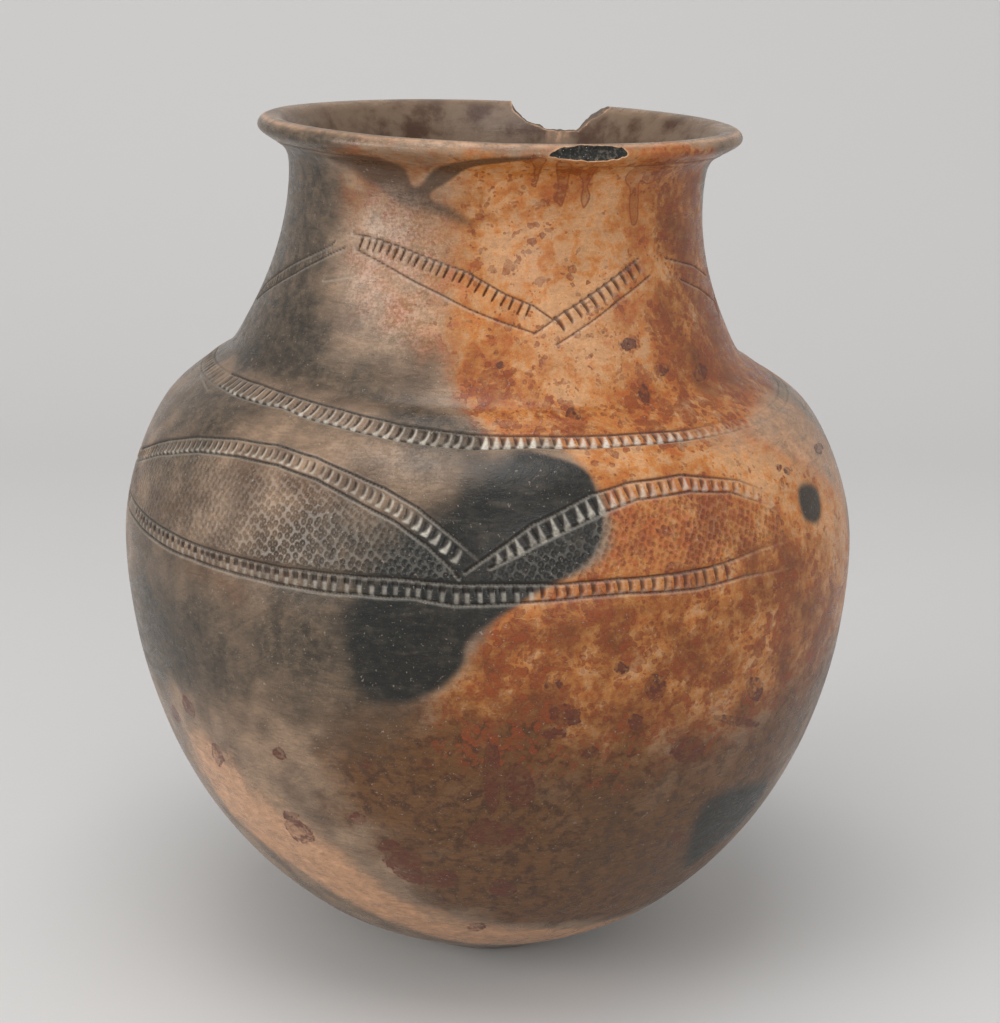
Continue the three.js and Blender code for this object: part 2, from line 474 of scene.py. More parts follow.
class Carving:
    """Everything that the potter cut into the wall, drawn on one unrolled map."""

    CELL = 0.3
    PALE_EDGE = 0.34
    RIM_GAP = 0.8
    WAVER = 9.0
    STRIDE = 2.5
    STEEPEST = 0.9
    FIRST_NOTCH = 1.5
    SPARE_END = 1.0
    ACROSS_STEPS = 500
    LEAST_DEPTH = 0.05
    LEAST_HEIGHT = 1.0
    HATCH_PITCH = 2.6
    HATCHED_NET = 0.6
    FIELD_EDGE = (0.8, 2.0)
    FIELD_END = 0.02
    FADE_SIZE = 16.0
    FADE_APART = 90
    OFF_FIELD = -1e3
    WAVER_SEED = 7
    NOTCH_SEED = 21

    def __init__(self, wall: Wall) -> None:
        """Args:
        wall: the wall that is carved.
        """
        self.wall = wall
        self.grid = Grid(wall, self.CELL)
        self.depth = self.grid.blank()
        # Pale earth in the cuts, with painted highlights on the notches' lit faces.
        self.chalk_and_highlight = self.grid.blank()
        self.net = self.grid.blank()
        self.waver = Lattice(self.WAVER_SEED)
        self.random = np.random.default_rng(self.NOTCH_SEED)

    def lay(self, layer: Array, cells: tuple[Array, ...], values: Array) -> None:
        """Keeps the higher of the old and the new value in each cell."""
        layer[cells] = np.maximum(layer[cells], values)

    def around(self, start: Array, end: Array, reach: float) -> tuple:
        """The cells round a stroke.

        Args:
            start: where it starts, as an angle and a run.
            end: where it ends.
            reach: how far round it to go, in millimetres.

        Returns:
            The cells, how far they are to the right of and above the start, and how far the end is.
        """
        pair = np.stack([start, end])
        rows, columns, angle, run = self.grid.window(pair, reach)
        x, y = self.grid.flat(angle, run, start)
        radius = float(self.wall.section.radius(pair[:, 1]).mean())
        return (rows, columns), x, y, (end[0] - start[0]) * radius, end[1] - start[1]

    def line(self, places: Array, tool: Tool, worn: Array) -> None:
        """Cuts one line.

        Args:
            places: angles and runs along it.
            tool: the point that cuts it.
            worn: angles, each with how deep the line is there.
        """
        for start, end in zip(places[:-1], places[1:]):
            strength = float(np.interp(start[0], worn[:, 0], worn[:, 1]))
            cells, x, y, to_x, to_y = self.around(start, end, 3 * tool.width)
            length = max(to_x**2 + to_y**2, TINY)
            share = np.clip((x * to_x + y * to_y) / length, 0, 1)
            gap = np.hypot(x - share * to_x, y - share * to_y)
            self.lay(self.depth, cells, strength * tool.depth * np.exp(-((gap / tool.width) ** 2) * 1.6))
            below = (x * to_y - y * to_x) * np.sign(to_x) > 0
            rim = strength * tool.rim * np.exp(-(((gap - self.RIM_GAP) / self.PALE_EDGE) ** 2)) * below
            self.lay(self.chalk_and_highlight, cells, rim)

    def wandering(self, places: Array, tool: Tool) -> Array:
        """Places joined by short steps that waver as a hand does."""
        steps = [places[:1]]
        for start, end in zip(places[:-1], places[1:]):
            radius = float(self.wall.section.radius(np.array([start[1]]))[0])
            length = math.hypot((end[0] - start[0]) * radius, end[1] - start[1])
            count = max(int(length / self.STRIDE), 1)
            share = np.linspace(0, 1, count + 1)[1:, None]
            steps.append(start + (end - start) * share)
        path = np.concatenate(steps)
        points = self.wall.points(path)
        path[:, 1] += self.waver.at(points, self.WAVER) * tool.wander
        return path

    def notch(self, top: Array, foot: Array, kind: Notch) -> None:
        """Cuts one notch: a steep face on its left, a ramp on its right, and pale earth and a painted
        highlight at its right and foot.

        Args:
            top: its upper end, as an angle and a run.
            foot: its lower end.
            kind: its size.
        """
        cells, x, y, to_x, to_y = self.around(top, foot, 2 * kind.width)
        length = math.hypot(to_x, to_y)
        along = (x * to_x + y * to_y) / length**2
        side = (y * to_x - x * to_y) / length - kind.bow * np.sin(np.clip(along, 0, 1) * math.pi)
        ends = smooth_step(-0.1, 0.08, along) * smooth_step(1.08, 0.85, along)
        taper = 1 - 0.4 * np.clip(along, 0, 1)
        ramp = np.clip(1 - side / (kind.width * taper), 0, 1)
        cut = kind.depth * ends * smooth_step(-0.4, 0.1, side) * ramp
        shallow = smooth_step(kind.hole - 0.06, kind.hole + 0.06, along)
        if kind.hole > 0:
            block = smooth_step(-0.35, 0.0, side) * smooth_step(kind.width + 0.3, kind.width - 0.1, side)
            cut = kind.depth * ends * block * (1 - 0.8 * shallow)
        self.lay(self.depth, cells, cut)
        if kind.chalk_and_highlight > 0:
            self.lay(self.chalk_and_highlight, cells, self.earth(kind, along, side / kind.width, shallow))

    def earth(self, kind: Notch, along: Array, across: Array, shallow: Array) -> Array:
        """The pale in a notch: pale earth that is left in it, and a painted highlight on its lit faces.

        Args:
            kind: the notch.
            along: how far along it each cell is, from 0 to 1.
            across: how far across it, from 0 to 1.
            shallow: 1 past the end of its square hole.

        Returns:
            How pale each cell is, from 0 to 1.
        """
        if kind.hole > 0:
            white = kind.chalk_and_highlight * shallow * smooth_step(0.1, 0.5, across) * smooth_step(1.3, 1.0, across)
            return white * smooth_step(1.08, 0.95, along)
        # Pale earth and painted highlight: along the lit right edge, at the foot and in the lower right
        # corner.
        edge = np.exp(-(((across - 0.85) * kind.width / self.PALE_EDGE) ** 2))
        within = smooth_step(-0.2, 0.2, across)
        low = smooth_step(0.66, 0.95, along) * within * smooth_step(1.3, 0.9, across)
        corner = smooth_step(0.95, 1.2, across + along) * smooth_step(1.25, 1.0, across)
        white = np.maximum(edge, low) * (1 - kind.wedge) + np.maximum(corner, 0.6 * low) * kind.wedge
        return kind.chalk_and_highlight * white * smooth_step(-0.1, 0.2, along) * smooth_step(1.12, 1.0, along)

    def band(self, upper: Array, lower: Array, tool: Tool, kinds: Sequence[tuple[float, Notch]],
             fade: Sequence[tuple[float, float]] = ()) -> None:
        """Cuts two lines and the row of notches between them.

        Args:
            upper: places along the upper line, from left to right.
            lower: places along the lower line, from left to right.
            tool: the point that cuts the lines.
            kinds: the notches, each with the angle at which its stretch ends.
            fade: angles, each with how deep the band is there.
        """
        worn = np.array(fade) if len(fade) else np.array([[0.0, 1.0]])
        for places in (upper, lower):
            self.line(self.wandering(places, tool), tool, worn)
        first = max(upper[0, 0], lower[0, 0])
        last = min(upper[-1, 0], lower[-1, 0])
        angles = np.linspace(first, last, self.ACROSS_STEPS)
        top = np.interp(angles, upper[:, 0], upper[:, 1])
        foot = np.interp(angles, lower[:, 0], lower[:, 1])
        middle = (top + foot) / 2
        radius = self.wall.section.radius(middle)
        across = np.diff(angles) * radius[1:]
        walked = np.concatenate([[0], np.cumsum(np.hypot(across, np.diff(middle)))])
        slope = np.append(np.diff(middle) / across, 0.0)
        spot = self.FIRST_NOTCH
        while spot < walked[-1] - self.SPARE_END:
            angle = float(np.interp(spot, walked, angles))
            kind = next((kind for end, kind in kinds if angle <= end), kinds[-1][1])
            vary = self.random.uniform(-1, 1, 4)
            high = float(np.interp(angle, angles, top)) - kind.inset
            room = high - float(np.interp(angle, angles, foot)) - kind.inset * 0.7
            height = min(room, kind.length) * (1 + 0.07 * vary[0])
            high -= max(room - height, 0.0) * kind.drop
            steep = float(np.clip(np.interp(angle, angles, slope), -self.STEEPEST, self.STEEPEST))
            square = steep * height * kind.square
            lean = (kind.slant + square + 0.22 * vary[1]) / 2 / float(np.interp(angle, angles, radius))
            strength = float(np.interp(angle, worn[:, 0], worn[:, 1]))
            made = replace(kind, depth=kind.depth * strength * (1 + 0.15 * vary[2]),
                           chalk_and_highlight=kind.chalk_and_highlight * strength * (0.85 + 0.3 * vary[3]))
            if strength > self.LEAST_DEPTH and height > self.LEAST_HEIGHT:
                self.notch(np.array([angle - lean, high]), np.array([angle + lean, high - height]), made)
            spot += kind.pitch * (1 + 0.16 * vary[2])

    def field(self, upper: Array, lower: Array,
              fills: Sequence[tuple[float, float, Fill]]) -> None:
        """Fills the space between two lines.

        Args:
            upper: places along the line above it, from left to right.
            lower: places along the line below it.
            fills: for each stretch, its first and last angle in radians and its filling.
        """
        both = np.concatenate([upper, lower])
        rows, columns, angle, run = self.grid.window(both, 0.0)
        above = np.interp(angle[0], upper[:, 0], upper[:, 1], left=self.OFF_FIELD, right=self.OFF_FIELD)
        below = np.interp(angle[0], lower[:, 0], lower[:, 1])
        inside = (smooth_step(*self.FIELD_EDGE, above[None] - run)
                  * smooth_step(*self.FIELD_EDGE, run - below[None]))
        points = self.wall.points(np.stack([angle.ravel(), run.ravel()], 1))
        drift = self.waver.at(points, self.WAVER).reshape(angle.shape)
        worn = self.waver.at(points + self.FADE_APART, self.FADE_SIZE).reshape(angle.shape)
        fade = 0.75 + 0.35 * worn
        x = angle * self.wall.section.radius(run) + drift * 1.6
        end = self.FIELD_END
        for first, last, fill in fills:
            share = smooth_step(first - end, first + end, angle)
            share = share * smooth_step(last + end, last - end, angle)
            share = inside * share * fade
            self.lay(self.net, (rows, columns), share * (1.0 if fill is Fill.NET else self.HATCHED_NET))
            self.lay(self.depth, (rows, columns), share * self.hatch(fill, x, run + drift))

    def hatch(self, fill: Fill, x: Array, y: Array) -> Array:
        """The depth of a filling's strokes at flat places, in millimetres."""
        turn, depth = fill.value
        phase = TURN / self.HATCH_PITCH * (x * math.cos(turn) + y * math.sin(turn))
        return depth * (0.5 + 0.5 * np.cos(phase)) ** 3


class Drawing:
    """The carved design, as it was read off the photograph, and carried on round the back."""

    SHOULDER_UPPER = (
        (233, 371.8), (262, 382.8), (303, 397), (345, 408.6), (400, 422.6), (476.5, 433.5),
        (534, 434.8), (591, 434.4), (649, 431.6), (687, 428.7), (711, 424), (732, 418.8), (757, 413.7),
    )
    SHOULDER_LOWER = (
        (220, 384), (241, 395), (262, 401.5), (286, 407), (310, 417), (338.5, 424.4), (400, 439),
        (438, 444), (476.5, 447.8), (534, 446), (591, 446.5), (649, 443), (687, 439), (757, 424),
    )
    LOWER_UPPER = (
        (132, 496), (159.5, 525.8), (199, 545.5), (238.6, 557.4), (278, 566.3), (318, 572),
        (400, 579), (461, 584.6), (515, 584.6), (563, 584), (620, 579), (676, 573.8), (711, 567.5),
        (765, 548),
    )
    LOWER_LOWER = (
        (134, 518), (150, 536), (179, 553.5), (219, 568), (258, 579), (298, 587), (337.5, 593),
        (417, 598), (457, 605.7), (515, 603.7), (572, 599), (630, 593), (700, 589), (747, 576), (783, 569),
    )
    LEFT_ARCH_UPPER = (
        (142, 448.6), (169, 438.8), (199, 435.8), (239, 437.8), (278, 443.7), (318, 456.6),
        (357, 474.4), (387, 488), (420, 508), (438, 522.4), (461, 541.6), (482, 559.7),
    )
    LEFT_ARCH_LOWER = (
        (138, 460.5), (159.5, 453.6), (199, 450.6), (239, 455.6), (278, 464.5), (318, 479.3),
        (357, 500), (397, 522), (429, 545.4), (454, 568.4), (461, 578),
    )
    RIGHT_ARCH_UPPER = (
        (467, 572), (503, 547), (534, 524.4), (593, 493.7), (630, 482.3), (683, 474.6), (719, 477.3),
        (742, 480), (761, 487), (777, 501),
    )
    RIGHT_ARCH_LOWER = (
        (492, 568), (522, 553), (563, 532), (605, 513), (639, 499.5), (693.6, 490.7), (733, 491.6),
        (780, 507),
    )
    NECK_LEFT_UPPER = (
        (253, 297), (267.5, 282.1), (297, 261.2), (311.4, 254.6), (331.8, 244.9), (336, 241.3),
    )
    NECK_LEFT_LOWER = (
        (257.9, 298.5), (265.5, 291.3), (291, 275), (303.3, 267.9), (331.8, 253.6), (346, 247.4),
    )
    NECK_DOWN_UPPER = (
        (354.3, 232.7), (377.8, 238.3), (400, 245.9), (468, 271.4), (508, 294), (536, 305.5), (555.5, 319),
    )
    NECK_DOWN_LOWER = ((357.3, 249), (377.8, 259.7), (405, 275), (440, 293), (471, 309), (538, 333))
    NECK_UP_UPPER = ((536, 334), (565, 313), (615, 279), (642, 257.6))
    NECK_UP_LOWER = ((559, 344), (592, 323), (624, 298), (653, 275))
    NECK_RIGHT_UPPER = ((668, 258), (697, 265), (709, 275))
    NECK_RIGHT_LOWER = ((684, 279), (703, 288), (718, 302))
    NECK_SCRATCH = ((325, 279.5), (341, 277), (357, 274))
    END_SCRATCH = ((203, 372), (206, 380), (210, 388))
    BACK_ARCHES = ((math.radians(96), math.radians(165)), (math.radians(165), math.radians(236)))
    BACK_RISES = (33.0, 27.0)
    ARCH_POINTS = 26
    ARCH_POWER = 0.85
    RING_POINTS = 40
    CREASE_POINTS = 120
    GAP = 0.02
    BACK_CORNERS = 5
    BACK_HEIGHTS = (272, 297)
    BACK_BAND = 5.5
    LEFT_SWEEP = math.radians(38)
    LIP_FOOT = 330.6
    CREASE_WORN = ((0.0, 0.25), (0.5, 0.8), (1.3, 0.9), (2.0, 0.5), (4.6, 0.6), (5.2, 1.0), (5.9, 0.3))
    END = 9.0

    LINE = Tool()
    FINE = Tool(width=0.5, depth=0.6, rim=0.2)
    CREASE = Tool(width=0.9, depth=0.5, wander=0.5, rim=0.0)
    SCRATCH = Tool(width=0.5, depth=0.25)
    COMMA = Notch(pitch=4.1, width=1.9, depth=0.66, slant=-0.7, bow=0.5, inset=0.5, chalk_and_highlight=0.72, wedge=0.25)
    WEDGE = Notch(pitch=4.4, width=2.4, depth=0.75, slant=0.1, bow=0.1, inset=0.5, chalk_and_highlight=0.9, wedge=1.0)
    CRESCENT = Notch(pitch=3.6, width=1.7, depth=0.6, slant=-0.5, bow=0.35, inset=0.8, length=4.4,
                     chalk_and_highlight=0.6, wedge=0.2, square=0.4, drop=0.5)
    TOOTH = Notch(pitch=4.7, width=2.3, depth=0.7, slant=-0.6, bow=0.3, inset=1.2, length=4.6, chalk_and_highlight=0.7,
                  wedge=0.6, square=0.3, drop=0.5)
    STEP = Notch(pitch=4.6, width=2.3, depth=0.8, slant=0.3, bow=-0.1, inset=1.0, chalk_and_highlight=0.6, wedge=0.7)
    SLOT = Notch(pitch=3.9, width=1.7, depth=0.84, slant=0.2, bow=0.1, inset=0.6, chalk_and_highlight=0.32, hole=0.5)
    KEYHOLE = Notch(pitch=4.3, width=1.7, depth=0.86, bow=0.0, inset=0.6, chalk_and_highlight=0.34, hole=0.42)
    BOX = Notch(pitch=4.6, width=2.4, depth=0.84, slant=0.2, bow=0.2, inset=0.5, chalk_and_highlight=0.2)
    SLIT = Notch(pitch=3.2, width=1.25, depth=0.86, slant=-0.2, bow=0.0, inset=0.4, length=4.6)
    DASH = Notch(pitch=3.7, width=2.2, depth=0.86, slant=0.9, bow=0.2, inset=0.4, length=5.0, chalk_and_highlight=0.16)
    SCRAPE = Notch(pitch=2.9, width=1.0, depth=0.42, bow=0.1, inset=0.8)

    def __init__(self, carving: Carving) -> None:
        """Args:
        carving: the map that it is cut on.
        """
        self.carving = carving
        self.wall = carving.wall

    def ring(self, pixels: Points) -> Array:
        """A line seen at the front, carried level round the back to its start."""
        seen = self.wall.read(pixels)
        angles = np.linspace(seen[-1, 0], seen[0, 0] + TURN, self.RING_POINTS)[1:-1]
        runs = np.interp(angles, [seen[-1, 0], seen[0, 0] + TURN], [seen[-1, 1], seen[0, 1]])
        end = np.array([[seen[0, 0] + TURN, seen[0, 1]]])
        return np.concatenate([seen, np.stack([angles, runs], 1), end])

    def back_arch(self, first: float, last: float, base: Array, rise: float) -> Array:
        """One arch out of sight, over the lower band."""
        angles = np.linspace(first, last, self.ARCH_POINTS)
        foot = np.interp(angles, base[:, 0], base[:, 1])
        lift = np.sin((angles - first) / (last - first) * math.pi) ** self.ARCH_POWER
        return np.stack([angles, foot + lift * rise], 1)

    def turn_at(self, x: float, y: float) -> float:
        """How far round the pot a pixel lies, in radians from the front."""
        return float(self.wall.read([(x, y)])[0, 0])

    def cut(self) -> None:
        """Cuts the whole design."""
        self.shoulder_band()
        base = self.lower_band()
        self.arches(base)
        self.neck()

    def shoulder_band(self) -> None:
        """The band at the foot of the neck, smeared over at its right."""
        at = self.turn_at
        kinds = ((at(478, 440), self.COMMA), (at(690, 434), self.WEDGE), (TURN, self.COMMA))
        fade = ((at(205, 374), 0.35), (at(235, 378), 1.0), (at(670, 435), 1.0), (at(705, 430), 0.45),
                (at(757, 418), 0.22), (2.2, 0.9), (4.6, 0.9), (TURN - 1.2, 0.35))
        upper, lower = self.ring(self.SHOULDER_UPPER), self.ring(self.SHOULDER_LOWER)
        self.carving.band(upper, lower, self.LINE, kinds, fade)

    def lower_band(self) -> Array:
        """The band at the widest part, and the places of its upper line."""
        at = self.turn_at
        upper, lower = self.ring(self.LOWER_UPPER), self.ring(self.LOWER_LOWER)
        kinds = ((at(315, 580), self.SLOT), (at(541, 594), self.KEYHOLE), (at(735, 570), self.BOX),
                 (at(783, 555), self.SCRAPE), (TURN, self.SLOT))
        fade = ((at(700, 580), 1.0), (at(750, 565), 0.6), (at(783, 556), 0.2), (at(800, 550), 0.0),
                (1.7, 0.0), (2.0, 0.9))
        self.carving.band(upper, lower, self.LINE, kinds, fade)
        return upper

    def arches(self, base: Array) -> None:
        """The arches that stand on the lower band, and their filling."""
        carving, read, at = self.carving, self.wall.read, self.turn_at
        left_over, left_under = read(self.LEFT_ARCH_UPPER), read(self.LEFT_ARCH_LOWER)
        right_over, right_under = read(self.RIGHT_ARCH_UPPER), read(self.RIGHT_ARCH_LOWER)
        left_end = left_over[0, 0] - self.LEFT_SWEEP
        drop = np.array([[left_end, float(base[0, 1]) + 3.0]])
        middle = np.array([[left_end + self.LEFT_SWEEP / 2, float(left_over[0, 1]) - 7.0]])
        left_over = np.concatenate([drop, middle, left_over])
        left_under = np.concatenate([drop + [0.06, -1.0], middle + [0.04, -5.0], left_under])
        fade = ((at(455, 552), 1.0), (at(470, 566), 0.3))
        kinds = ((at(400, 515), self.CRESCENT), (self.END, self.TOOTH))
        carving.band(left_over, left_under, self.LINE, kinds, fade)
        fade = ((at(690, 484), 1.0), (at(740, 486), 0.6), (at(775, 500), 0.2))
        carving.band(right_over, right_under, self.LINE, ((self.END, self.STEP),), fade)
        hatch_end, corner_end = at(238, 500), at(597, 545)
        carving.field(left_under, base, ((left_end, hatch_end, Fill.UPRIGHT), (hatch_end, 0.0, Fill.NET)))
        carving.field(right_under, base, ((-1.0, corner_end, Fill.SLANTED), (corner_end, 3.0, Fill.NET)))
        for first, last in self.BACK_ARCHES:
            over = self.back_arch(first, last, base, self.BACK_RISES[0])
            under = self.back_arch(first + 0.05, last - 0.05, base, self.BACK_RISES[1])
            carving.band(over, under, self.LINE, ((self.END, self.CRESCENT),))
            carving.field(under, base, ((first, last, Fill.NET),))

    def neck(self) -> None:
        """The zigzag round the neck, and two scratches."""
        carving, read = self.carving, self.wall.read
        for upper, lower, kind in (
            (self.NECK_LEFT_UPPER, self.NECK_LEFT_LOWER, self.SCRAPE),
            (self.NECK_DOWN_UPPER, self.NECK_DOWN_LOWER, self.SLIT),
            (self.NECK_UP_UPPER, self.NECK_UP_LOWER, self.DASH),
        ):
            carving.band(read(upper), read(lower), self.FINE, ((self.END, kind),))
        steady = np.array([[0.0, 1.0]])
        for line in (self.NECK_RIGHT_UPPER, self.NECK_RIGHT_LOWER):
            carving.line(carving.wandering(read(line), self.FINE), self.FINE, steady)
        for line in (self.NECK_SCRATCH, self.END_SCRATCH):
            carving.line(read(line), self.SCRATCH, steady)
        # The crease under the lip: a shallow cut, whose darkening by depth paints the shade under the lip's
        # roll.
        angles = np.linspace(0, TURN, self.CREASE_POINTS)
        under = np.stack([angles, np.full_like(angles, self.wall.section.run_at(self.LIP_FOOT))], 1)
        carving.line(carving.wandering(under, self.CREASE), self.CREASE, np.array(self.CREASE_WORN))
        self.back_zigzag()

    def back_zigzag(self) -> None:
        """Carries the zigzag round the back of the neck."""
        low, high = (self.wall.section.run_at(height) for height in self.BACK_HEIGHTS)
        start = self.turn_at(*self.NECK_RIGHT_UPPER[-1])
        end = self.turn_at(*self.NECK_LEFT_UPPER[0]) + TURN
        angles = np.linspace(start, end, self.BACK_CORNERS)
        for number in range(self.BACK_CORNERS - 1):
            runs = (high, low) if number % 2 == 1 else (low, high)
            left, right = angles[number] + self.GAP, angles[number + 1] - self.GAP
            upper = np.array([[left, runs[0]], [right, runs[1]]])
            lower = upper - np.array([0.0, self.BACK_BAND])
            self.carving.band(upper, lower, self.FINE, ((self.END, self.SLIT),))


class Layer(Enum):
    """What the fire and use have left on the clay, and where a painted sheen lies. Each is a value from 0
    to 1 at every place.
    """

    PALE = "pale"
    UMBER = "umber"
    EMBER = "ember"
    RUST = "rust"
    SMOKE = "smoke"
    # A painted sheen: the lamps' highlights on the burnished face, laid as a pale speckle.
    PAINTED_SHEEN = "frost"
    SMEAR = "smear"
    SOOT = "soot"
    MOSS = "moss"


@dataclass(frozen=True)
class Cloud:
    """One soft-edged patch of a layer.

    seen is its outline as the photograph shows it: a pixel across, a pixel down, and how soft the edge is
    there in millimetres. hidden carries the outline on out of sight: degrees round from the front, a
    height, and the same softness. A strength below 0 takes the layer away.
    """

    seen: tuple[tuple[float, float, float], ...] = ()
    hidden: tuple[tuple[float, float, float], ...] = ()
    strength: float = 1.0
    ragged: float = 3.0


@dataclass(frozen=True)
class Blot:
    """A round or long stain: its middle and half sizes in pixels, and its turn in degrees."""

    x: float
    y: float
    wide: float
    high: float
    turn: float = 0.0


class Run(Enum):
    """Two kinds of mark that something wet left."""

    STAIN = "stain"
    DRIP = "drip"


class FireMap:
    """The layers of colour, worked out on one unrolled map of the wall."""

    CELL = 0.8
    FAR = 8.0
    LUMPS = ((26.0, 1.0), (11.0, 0.5), (5.0, 0.3))
    CORNER_STEPS = 4
    LEAST_SOFT = 0.8
    SEED = 3
    FURTHEST = 1e9

    def __init__(self, wall: Wall) -> None:
        """Args:
        wall: the wall that is coloured.
        """
        self.wall = wall
        self.grid = Grid(wall, self.CELL)
        angle, run = np.meshgrid(np.arange(self.grid.columns) * self.grid.turn_cell, self.grid.runs)
        points = wall.points(np.stack([angle.ravel(), run.ravel()], 1))
        noise = Lattice(self.SEED)
        waves = sum(height * noise.at(points, size) for size, height in self.LUMPS)
        self.noise = waves.reshape(angle.shape)
        self.layers = {layer: self.grid.blank() for layer in Layer}
        self.runs = {run: np.full_like(self.grid.blank(), self.FAR) for run in Run}

    def outline(self, cloud: Cloud) -> Array:
        """A cloud's outline as angles, runs and softness."""
        parts = []
        if cloud.seen:
            seen = np.array(cloud.seen)
            parts.append(np.column_stack([self.wall.read(seen[:, :2]), seen[:, 2]]))
        if cloud.hidden:
            rows = [(math.radians(a), self.wall.section.run_at(h), s) for a, h, s in cloud.hidden]
            parts.append(np.array(rows))
        return self.rounded(np.concatenate(parts))

    def rounded(self, corners: Array) -> Array:
        """A closed outline with its corners rounded off by a smooth curve through them."""
        stations = [np.roll(corners, shift, axis=0) for shift in (1, 0, -1, -2)]
        shares = np.linspace(0, 1, self.CORNER_STEPS + 1)[:-1]
        smooth = np.stack([curve(*stations, share) for share in shares], 1).reshape(-1, 3)
        smooth[:, 2] = np.maximum(smooth[:, 2], corners[:, 2].min())
        return smooth

    def depth_inside(self, places: Array, angle: Array,
                     run: Array) -> tuple[Array, Array]:
        """How far inside an outline some cells are, and how soft the nearest edge is.

        Args:
            places: angles, runs and softness round the outline.
            angle: the cells' angles.
            run: the cells' runs.

        Returns:
            Millimetres inside, below 0 outside, and the softness.
        """
        size = float(self.wall.section.radius(places[:, 1]).mean())
        x, y = angle * size, run
        nearest = np.full(x.shape, self.FURTHEST)
        soft = np.zeros(x.shape)
        inside = np.zeros(x.shape, bool)
        for start, end in zip(places, np.roll(places, -1, axis=0)):
            x0, y0, x1, y1 = start[0] * size, start[1], end[0] * size, end[1]
            length = max((x1 - x0) ** 2 + (y1 - y0) ** 2, TINY)
            share = np.clip(((x - x0) * (x1 - x0) + (y - y0) * (y1 - y0)) / length, 0, 1)
            gap = np.hypot(x - x0 - share * (x1 - x0), y - y0 - share * (y1 - y0))
            closer = gap < nearest
            nearest[closer] = gap[closer]
            soft[closer] = (start[2] + share * (end[2] - start[2]))[closer]
            crosses = (y0 > y) != (y1 > y)
            rise = y1 - y0 if y1 != y0 else TINY
            inside ^= crosses & (x < (x1 - x0) * (y - y0) / rise + x0)
        return np.where(inside, nearest, -nearest), soft

    def add(self, layer: Layer, cloud: Cloud) -> None:
        """Lays one cloud over a layer, or takes it away."""
        outline = self.outline(cloud)
        widest = float(outline[:, 2].max())
        reach = 3 + 1.3 * widest + 2 * cloud.ragged * (0.4 + widest / 12)
        rows, columns, angle, run = self.grid.window(outline, reach)
        depth, soft = self.depth_inside(outline, angle, run)
        depth = depth + self.noise[rows, columns] * cloud.ragged * (0.4 + soft / 12)
        share = smooth_step(-1, 1, depth / np.maximum(soft, self.LEAST_SOFT))
        old = self.layers[layer][rows, columns]
        change = (1 - old) * share if cloud.strength > 0 else old * share
        self.layers[layer][rows, columns] = old + change * cloud.strength

    def mark(self, run: Run, cells: tuple[Array, ...], gap: Array) -> None:
        """Keeps the lesser of the old and the new distance from a mark's edge in each cell."""
        self.runs[run][cells] = np.minimum(self.runs[run][cells], gap)

    def drip(self, pixels: Points) -> None:
        """Adds one drip, by its outline in pixels, to the map of distances from the drips' edges."""
        places = np.column_stack([self.wall.read(pixels), np.zeros(len(pixels))])
        outline = self.rounded(places)
        rows, columns, angle, run = self.grid.window(outline, self.FAR)
        depth, _ = self.depth_inside(outline, angle, run)
        self.mark(Run.DRIP, (rows, columns), -depth)

    def blot(self, blot: Blot) -> None:
        """Adds one stain to the map of distances from the stains' edges."""
        turn = math.radians(blot.turn)
        across = np.array([math.cos(turn), math.sin(turn)]) * blot.wide
        along = np.array([-math.sin(turn), math.cos(turn)]) * blot.high
        middle = np.array([blot.x, blot.y])
        spots = self.wall.read([middle, middle + across * 0.5, middle + along * 0.5])
        radius = float(self.wall.section.radius(spots[:1, 1])[0])
        flat = spots * np.array([radius, 1.0])
        half = (flat[1:] - flat[0]) * 2
        size = float(np.sqrt(abs(np.linalg.det(half))))
        rows, columns, angle, run = self.grid.window(spots, 2 * size + self.FAR)
        offset = np.stack([(angle - spots[0, 0]) * radius, run - spots[0, 1]], -1)
        local = offset @ np.linalg.inv(half)
        reach = np.hypot(local[..., 0], local[..., 1])
        self.mark(Run.STAIN, (rows, columns), (reach - 1) * size + self.noise[rows, columns] * 1.2)


